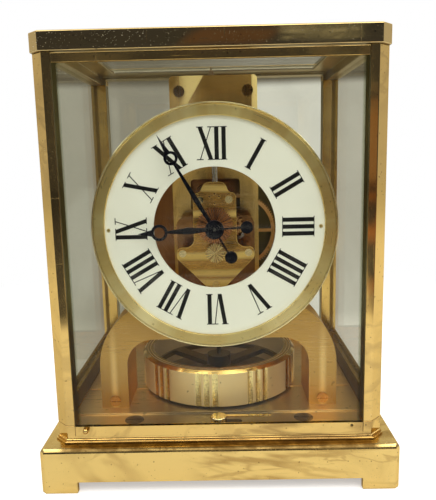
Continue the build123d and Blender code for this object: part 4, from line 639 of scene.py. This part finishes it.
posts = [f"{end}_{side}_post" for end in ("front", "rear") for side in ("left", "right")]
case_gold = (0.94, 0.635, 0.21)
case_stain = (0.46, 0.29, 0.10)
finishes = {
    "gilt_case": gilt("gilt_case", case_gold, case_stain, marble=0.85, dust=0.2),
    # painted shade on the cap's underside and inner walls
    "cap_brass": gilt("cap_brass", (0.84, 0.61, 0.25), (0.30, 0.24, 0.13), marble=0.3, dust=cap_dust,
                      shade_and_wear_region=painted_shade_under_cap, shade_and_wear_colour=(0.40, 0.36, 0.26), wave=0.6, base_rough=0.035),
    # painted shade and reflection under the balance, in the middle of the floor
    "floor_brass": brushed("floor_brass", (0.98, 0.70, 0.33), (0.60, 0.42, 0.19), (20, 1500, 400), rough=0.3,
                           depth=0.002, grain=0.4, metal=0.92, painted_light_region=painted_shade_under_balance,
                           painted_light_colour=(0.20, 0.175, 0.13)),
    "dark_screw": steel("dark_screw", (0.30, 0.22, 0.13), (0.42, 0.32, 0.19), rough=0.36),
    "polished_brass": brushed("polished_brass", (0.98, 0.80, 0.42), (0.84, 0.64, 0.30), (500, 500, 12),
                              rough=0.1, depth=0.0005, grain=0.2),
    # a painted reflection streak on each leg
    "bridge_brass": brushed("bridge_brass", (0.64, 0.38, 0.105), (0.46, 0.26, 0.07), (60, 420, 3000),
                            rough=0.3, depth=0.001, grain=0.6, grain_turn=quarter_turn, painted_light_region=painted_leg_streak,
                            painted_light_colour=(1.0, 0.70, 0.28)),
    "bezel_brass": bezel_with_painted_glints("bezel_brass", (1.0, 0.81, 0.34), (0.90, 0.62, 0.20), (1.0, 0.89, 0.52)),
    "dial_white": paint("dial_white", (0.93, 0.935, 0.81), (0.87, 0.865, 0.73), rough=0.5),
    "numeral_black": paint("numeral_black", (0.008, 0.008, 0.007), (0.014, 0.013, 0.011), rough=0.5,
                           shine=0.2),
    "hand_blue": steel("hand_blue", (0.006, 0.007, 0.013), (0.016, 0.018, 0.03), rough=0.3, metal=0.9),
    "steel": steel("steel", (0.48, 0.47, 0.45), (0.62, 0.60, 0.57), rough=0.25),
    "wheel_brass": turned("wheel_brass", (0.72, 0.42, 0.17), (0.46, 0.24, 0.10), dial_middle, "Y",
                          rough=0.22),
    "anchor_steel": steel("anchor_steel", (0.36, 0.34, 0.32), (0.5, 0.48, 0.45), rough=0.22),
    "cock_brass": banded("cock_brass", (1.0, 0.74, 0.24), (0.54, 0.29, 0.07)),
    "balance_brass": fluted("balance_brass", (0.93, 0.71, 0.36), (1.0, 0.82, 0.38)),
    # a dark copper, darkened in part as painted shade behind the works, and painted shade right of the tower
    # plate
    "drum_copper": turned("drum_copper", (0.40, 0.19, 0.08), (0.22, 0.11, 0.045), drum_middle, "Y",
                          rough=0.28, painted_light_region=painted_shade_right_of_tower, painted_light_colour=(0.12, 0.10, 0.045)),
    "glass": glass("glass", (0.955, 0.96, 0.925), reflection=0.04),
}
own_finishes = {
    "plinth": gilt("plinth", (0.98, 0.70, 0.245), (0.50, 0.31, 0.095), marble=0.85, dust=0.2,
                   shade_and_wear_region=worn_top, shade_and_wear_colour=(0.14, 0.08, 0.022)),
    # a dark reddish brass, darkened as painted shade behind the works
    "main_plate": brushed("main_plate", (0.34, 0.17, 0.065), (0.20, 0.10, 0.04), (260, 260, 40), rough=0.2,
                          depth=0.002, grain=0.3),
    "hour_wheel": wheel_with_painted_rays("hour_wheel", (0.58, 0.26, 0.10), (0.36, 0.15, 0.06), dial_middle,
                        hour_wheel_radius, teeth=48, ray_count=12.0),
    "minute_wheel": wheel_with_painted_rays("minute_wheel", (1.0, 0.80, 0.36), (0.44, 0.27, 0.10), middle("minute_wheel"),
                          minute_wheel_radius, teeth=52, ray_count=5.0),
    # the tower plate's third colour is its painted reflection
    "tower_plate": sheet("tower_plate", (0.80, 0.54, 0.19), (0.62, 0.40, 0.13), (1.0, 0.80, 0.34)),
    # dark: painted shade on the balance's arms, low within the ring
    "balance_arms": turned("balance_arms", (0.25, 0.19, 0.08), (0.15, 0.11, 0.045), balance_middle, "Z",
                           rough=0.3, depth=0.001, grain=0.3),
    "centre_arbor": steel("centre_arbor", (0.05, 0.05, 0.05), (0.09, 0.09, 0.09), rough=0.15),
    "tower_screws": steel("tower_screws", (0.20, 0.12, 0.045), (0.12, 0.07, 0.03), rough=0.24),
    "bridge_screws": steel("bridge_screws", (0.80, 0.44, 0.14), (0.56, 0.30, 0.09), rough=0.2),
    "front_glass": glass("front_glass", (0.965, 0.97, 0.945), reflection=0.009, rim=3.2 * mm,
                         rim_tint=(0.60, 0.62, 0.52)),
}
# Painted shade: the inner sides of the rails and the posts get a darker colour
for name in ("left_rail", "right_rail"):
    own_finishes[name] = gilt(name, case_gold, case_stain, marble=0.5, dust=0.2, shade_and_wear_region=painted_shade_on_inner_sides,
                              shade_and_wear_colour=(0.17, 0.155, 0.105))
for name in posts:
    at_front = name.startswith("front")
    own_finishes[name] = gilt(name, case_gold, (0.44, 0.29, 0.11), marble=0.5, dust=0.35 if at_front else 0.0,
                              shade_and_wear_region=painted_shade_on_inner_sides, wave=0.25, base_rough=0.06 if at_front else 0.14,
                              vein_slope=1.5)


# Edges: a small rounding on the CAD nodes, with smooth shading on round faces only

smooth_angle = math.radians(28)
rounded_angle = math.radians(35)
flat_angle = math.radians(0.5)
edge_rounding = {
    "plinth": 0.25, "base_frame": 0.3, "cap_frame": 0.5, "floor_plate": 0.15,
    "left_rail": 0.25, "right_rail": 0.25, "rear_rail": 0.25, "door_top_rail": 0.2,
    "door_bottom_rail": 0.25, "bridge": 0.35, "bezel": 0.4, "tower_plate": 0.3, "cock_plate": 0.45,
    "balance_ring": 0.5, "drum": 0.8, "drum_cover": 0.5, "minute_hand": 0.12, "hour_hand": 0.12,
    "tower_screws": 0.3, "bridge_screws": 0.2, "locking_lever": 0.15, "main_plate": 0.3,
    **dict.fromkeys(posts, 0.35),
}
flat_faced = {*posts, "left_rail", "right_rail", "rear_rail", "door_top_rail", "door_bottom_rail"}


def smooth_by_angle():
    """A node group that joins a mesh's split edges and shades it smooth below an angle."""
    group = bpy.data.node_groups.new("smooth_by_angle", "GeometryNodeTree")
    group.interface.new_socket("Geometry", in_out="INPUT", socket_type="NodeSocketGeometry")
    group.interface.new_socket("Geometry", in_out="OUTPUT", socket_type="NodeSocketGeometry")
    start = group.nodes.new("NodeGroupInput")
    end = group.nodes.new("NodeGroupOutput")
    weld = group.nodes.new("GeometryNodeMergeByDistance")
    weld.inputs["Distance"].default_value = 0.001 * mm
    normals = group.nodes.new("GeometryNodeSetMeshNormal")
    normals.inputs["Remove Custom"].default_value = True
    angle = group.nodes.new("GeometryNodeInputMeshEdgeAngle")
    sharp = group.nodes.new("FunctionNodeCompare")
    sharp.operation = "GREATER_THAN"
    sharp.inputs["B"].default_value = smooth_angle
    for one, other in (
        (start.outputs["Geometry"], weld.inputs["Geometry"]),
        (weld.outputs["Geometry"], normals.inputs["Mesh"]),
        (angle.outputs["Unsigned Angle"], sharp.inputs["A"]),
        (sharp.outputs["Result"], normals.inputs["Edge Sharpness"]),
        (normals.outputs["Mesh"], end.inputs["Geometry"]),
    ):
        group.links.new(one, other)
    return group


smoothing = smooth_by_angle()


def dress(name, node):
    """Gives a CAD node its finish, its rounded edges and its shading."""
    for slot in node.material_slots:
        slot.material = own_finishes.get(name) or finishes[slot.material.name]
    shade = node.modifiers.new("smooth_by_angle", "NODES")
    shade.node_group = smoothing
    if name in flat_faced:
        flat = node.modifiers.new("flat_faces", "DECIMATE")
        flat.decimate_type = "DISSOLVE"
        flat.angle_limit = flat_angle
    if name in edge_rounding:
        bevel = node.modifiers.new("rounding", "BEVEL")
        bevel.width = edge_rounding[name] * mm
        bevel.segments = 2
        bevel.limit_method = "ANGLE"
        bevel.angle_limit = rounded_angle
        bevel.harden_normals = True


for name, node in nodes.items():
    dress(name, node)


# Floor, background and light. A slope is a distance to the side or upwards for each step away.

floor_reach = 3.0
lit_floor_front = -0.35      # the bright table ends here, as the posts' reflections show
lit_floor_soft = 0.03
strips_meet = 0.45           # the light strips on the floor's dark end point at this place behind the clock
white_floor_start = 0.24     # the floor turns plain white between these distances from the clock
white_floor_end = 0.5
least_distance = 0.2         # a slope on the floor is taken over no less than this
shadow_lift = 0.42           # light of the floor's own that keeps the shadow pale to the camera
table_lift = 0.12            # and that brightens the table in mirrors
grey_in_front = 0.93         # how much of a pane's grey the camera sees on the floor before the rear glass
room = (0.046, 0.048, 0.062)
ceiling = (0.72, 0.72, 0.72)
side_wall = (0.50, 0.50, 0.54)
rear_wall = (0.86, 0.86, 0.84)
table_left = (0.54, 0.54, 0.52)
table_right = (0.63, 0.63, 0.61)
table_seen = (0.86, 0.86, 0.86)
warm_floor = (0.30, 0.13, 0.06)
floor_stripe = (1.0, 0.95, 0.82)
side_to_front = (0.25, -0.30)    # where the room's walls meet, by how far back or up a direction points
side_to_rear = (0.25, 0.8)
wall_to_ceiling = (0.36, 0.60)
view_to_roof = (0.112, 0.128)
world_light = 0.60
pane_tones = ((0.34, 0.32, 0.26), (0.33, 0.305, 0.25), (0.76, 0.74, 0.68), (0.56, 0.53, 0.47))
pane_steps = ((-0.25, -0.21), (-0.10, 0.08), (0.175, 0.205))
roof_tone = (0.145, 0.125, 0.09)
strip_tone = (0.62, 0.60, 0.52)
inner_strip = (0.178, 0.192)
outer_strip = (0.203, 0.236)
shelf = {"sides": (0.10, 0.242), "heights": (0.208, 0.30), "soft": (0.006, 0.006), "tone": (0.36, 0.37, 0.34)}
bench = {"sides": (-0.165, -0.03), "heights": (0.185, 0.26), "soft": (0.015, 0.02),
         "tone": (0.105, 0.065, 0.052)}
window = {"sides": (-0.125, -0.080), "heights": (0.02, 0.12), "soft": (0.006, 0.02), "tone": (1.2, 1.15, 1.0)}
warm_wall = {"sides": (0.22, 0.36), "heights": (-0.4, 0.09), "soft": (0.02, 0.01),
             "tone": (0.21, 0.125, 0.08)}


def pane_tone(t, slope):
    """The background's grey as a pane shows it, from left to right."""
    tone = pane_tones[0]
    for other, (low, high) in zip(pane_tones[1:], pane_steps):
        tone = t.mixed(t.between(slope, low, high), tone, other)
    return tone


def seen_through_glass(t):
    """1 when a ray has passed a pane, otherwise 0."""
    return t.between(t.add("LightPath").outputs["Transparent Depth"], 0.0, 1.0)


def side_strips(t, sideways, outer=0.0):
    """Upright light strips in the room in front, which the rear posts mirror."""
    away = t.unsigned(sideways)
    return t.larger(t.band(away, *inner_strip, 0.004), t.times(t.band(away, *outer_strip, 0.006), outer))


def on_thing(t, thing, sideways, upwards):
    """1 on a thing in the room in front and 0 beside it."""
    soft_sides, soft_heights = thing["soft"]
    return t.times(t.band(sideways, *thing["sides"], soft_sides),
                   t.band(upwards, *thing["heights"], soft_heights))


def floor_colour(s, camera, near):
    """The floor's colour: plain to the camera, and a bright table with a dark front end in mirrors."""
    warm = s.times(s.between(s.grain(2.6, 2), 0.47, 0.56), s.between(s.x, 0.05, 0.2))
    stripes = s.between(s.lines((1.6, 6.0, 1.0), detail=2), 0.47, 0.58, 0.06, 1.0)
    striped = s.times(s.band(s.x, -0.16, 0.14, 0.05), stripes)
    dark_end = s.mixed(striped, s.mixed(warm, room, warm_floor), floor_stripe)
    from_back = s.larger(s.less(strips_meet, s.y), least_distance)
    dark_end = s.mixed(side_strips(s, s.over(s.x, from_back)), dark_end, strip_tone)
    table = s.mixed(s.between(s.x, -0.12, 0.14), table_left, table_right)
    return s.mixed(camera, s.mixed(near, dark_end, table), table_seen)


def make_floor():
    """A pale floor that keeps the clock's shadow and looks white to the camera."""
    mesh = bpy.data.meshes.new("floor")
    corners = [(-floor_reach, -floor_reach, 0), (floor_reach, -floor_reach, 0),
               (floor_reach, floor_reach, 0), (-floor_reach, floor_reach, 0)]
    mesh.from_pydata(corners, [], [(0, 1, 2, 3)])
    floor = bpy.data.objects.new("floor", mesh)
    scene.collection.objects.link(floor)
    s = Surface("floor")
    camera = s.add("LightPath").outputs["Is Camera Ray"]
    near = s.between(s.y, lit_floor_front - lit_floor_soft, lit_floor_front + lit_floor_soft)
    diffuse = s.add("BsdfDiffuse", {"Color": floor_colour(s, camera, near)}).outputs["BSDF"]
    lift = s.plus(s.times(camera, shadow_lift), s.times(s.less(1.0, camera), near, table_lift))
    lit = s.join("AddShader", diffuse, s.glow(lift))
    away = s.maths("SQRT", s.plus(s.times(s.x, s.x), s.times(s.y, s.y)))
    far = s.times(camera, s.between(away, white_floor_start, white_floor_end))
    lit = s.join("MixShader", lit, s.glow(1.0), far)
    slope = s.over(s.x, s.larger(s.plus(s.y, -lit_floor_front), least_distance))
    brighter_near = s.between(s.y, 0.26, 0.16, 1.0, 1.3)
    grey = s.glow(brighter_near, pane_tone(s, slope))
    behind = s.between(s.y, 0.10, 0.12)
    share = s.times(seen_through_glass(s), s.larger(behind, s.times(camera, grey_in_front)))
    mesh.materials.append(s.show(s.join("MixShader", lit, grey, share)))


def front_room_colour(t, direction, sideways, upwards):
    """What polished metal mirrors of the dark room in front, by its slopes to the side and upwards."""
    streaky = t.between(t.noise(t.stretched(direction, (5, 5, 110)), 1.0, 3, 0.6, 0.4), 0.44, 0.60)
    wavy = t.plus(upwards, t.times(t.noise(direction, 9.0, 2), 0.05), -0.025)
    on_shelf = t.times(on_thing(t, shelf, sideways, wavy), streaky)
    on_bench = on_thing(t, bench, t.plus(sideways, t.times(upwards, -0.5)), wavy)
    on_window = on_thing(t, window, t.less(sideways, t.times(upwards, 0.35)), upwards)
    on_warm_wall = on_thing(t, warm_wall, sideways, upwards)
    on_strips = t.times(side_strips(t, sideways, 0.6), t.between(upwards, 0.14, 0.17, 1.0, 0.0))
    colour = t.mixed(on_warm_wall, t.mixed(on_shelf, room, shelf["tone"]), warm_wall["tone"])
    colour = t.mixed(on_bench, colour, bench["tone"])
    colour = t.mixed(on_window, colour, window["tone"])
    return t.mixed(on_strips, colour, strip_tone)


def make_world():
    """White behind the clock, a dark room in front of it, and an even light for plain surfaces."""
    world = bpy.data.worlds.new("studio")
    world.use_nodes = True
    world.node_tree.nodes.clear()
    scene.world = world
    t = Tree(world.node_tree)
    direction = t.add("TexCoord").outputs["Generated"]
    x, y, z = t.parts_of(direction)
    ahead = t.larger(t.times(y, -1.0), 0.05)
    front_room = front_room_colour(t, direction, t.over(x, ahead), t.over(z, ahead))
    around = t.mixed(t.between(y, *side_to_rear), side_wall, rear_wall)
    seen = t.mixed(t.between(y, *side_to_front), around, front_room)
    seen = t.mixed(t.between(z, *wall_to_ceiling), seen, ceiling)
    soft = t.between(t.noise(direction, 4.0, 3, 0.55, 0.3), 0.3, 0.75, 1.06, 0.90)
    tone = t.mixed(t.between(z, *view_to_roof), pane_tone(t, x), roof_tone)
    through = t.backdrop(soft, tone)
    to_camera = t.join("MixShader", t.backdrop(1.0), through, seen_through_glass(t))
    light_path = t.add("LightPath").outputs
    glossy = t.larger(light_path["Is Glossy Ray"], light_path["Is Transmission Ray"])
    behind_glass = t.times(seen_through_glass(t), t.between(y, 0.5, 0.7))
    mirrored = t.join("MixShader", t.backdrop(1.0, seen), through, behind_glass)
    lit = t.join("MixShader", t.backdrop(world_light), mirrored, glossy)
    full = t.join("MixShader", lit, to_camera, light_path["Is Camera Ray"])
    t.put(t.add("OutputWorld").inputs["Surface"], full)


lamps = {                    # the turn from the front and the rise in degrees, distance, size, watts, colour
    "key_box": (32, 48, 1.25, (1.2, 0.8), 8.0, (1.0, 0.985, 0.955)),
    "fill_box": (-46, 48, 1.25, (1.0, 0.8), 4.2, (0.98, 0.99, 1.0)),
    "left_box": (-98, 42, 1.2, (0.5, 0.4), 2.6, (1.0, 0.99, 0.97)),
    "right_box": (98, 42, 1.2, (0.5, 0.4), 2.6, (1.0, 0.99, 0.97)),
}


def around_clock(turn, rise, distance):
    """A place at a turn from the front and a rise above level, in degrees."""
    turn, rise = math.radians(turn), math.radians(rise)
    return Vector((distance * math.sin(turn) * math.cos(rise), -distance * math.cos(turn) * math.cos(rise),
                   case_middle.z + distance * math.sin(rise)))


def add_lamp(name, turn, rise, distance, size, power, colour):
    """A flat lamp that faces the middle of the clock."""
    lamp = bpy.data.lights.new(name, "AREA")
    lamp.shape = "RECTANGLE"
    lamp.size, lamp.size_y = size
    lamp.energy = power
    lamp.color = colour
    holder = bpy.data.objects.new(name, lamp)
    scene.collection.objects.link(holder)
    holder.location = around_clock(turn, rise, distance)
    aim = Vector((0, 0, case_middle.z)) - holder.location
    holder.rotation_euler = aim.to_track_quat("-Z", "Y").to_euler()
    holder.visible_camera = False


# Camera, as fitted to the corners of the case in the photograph

photo_height = 500
focal_pixels = 565.06
camera_place = (0.005008, -0.330793, 0.164628)
camera_yaw = 0.0127
camera_pitch = -0.1643
camera_roll = -0.0227
sensor_size = 36.0
nearest_seen = 0.01


def make_camera():
    """The camera at the photograph's place, direction and focal length."""
    forward = Vector((-math.sin(camera_yaw) * math.cos(camera_pitch),
                      math.cos(camera_yaw) * math.cos(camera_pitch), math.sin(camera_pitch)))
    level_right = Vector((math.cos(camera_yaw), math.sin(camera_yaw), 0))
    level_up = level_right.cross(forward)
    right = level_right * math.cos(camera_roll) + level_up * math.sin(camera_roll)
    up = level_up * math.cos(camera_roll) - level_right * math.sin(camera_roll)
    data = bpy.data.cameras.new("photo_camera")
    data.sensor_width = sensor_size
    data.lens = focal_pixels * sensor_size / photo_height
    data.clip_start = nearest_seen
    camera = bpy.data.objects.new("photo_camera", data)
    scene.collection.objects.link(camera)
    turn = Matrix((right, up, -forward)).transposed()
    camera.matrix_world = Matrix.Translation(camera_place) @ turn.to_4x4()
    scene.camera = camera


make_floor()
make_world()
for name, settings in lamps.items():
    add_lamp(name, *settings)
make_camera()
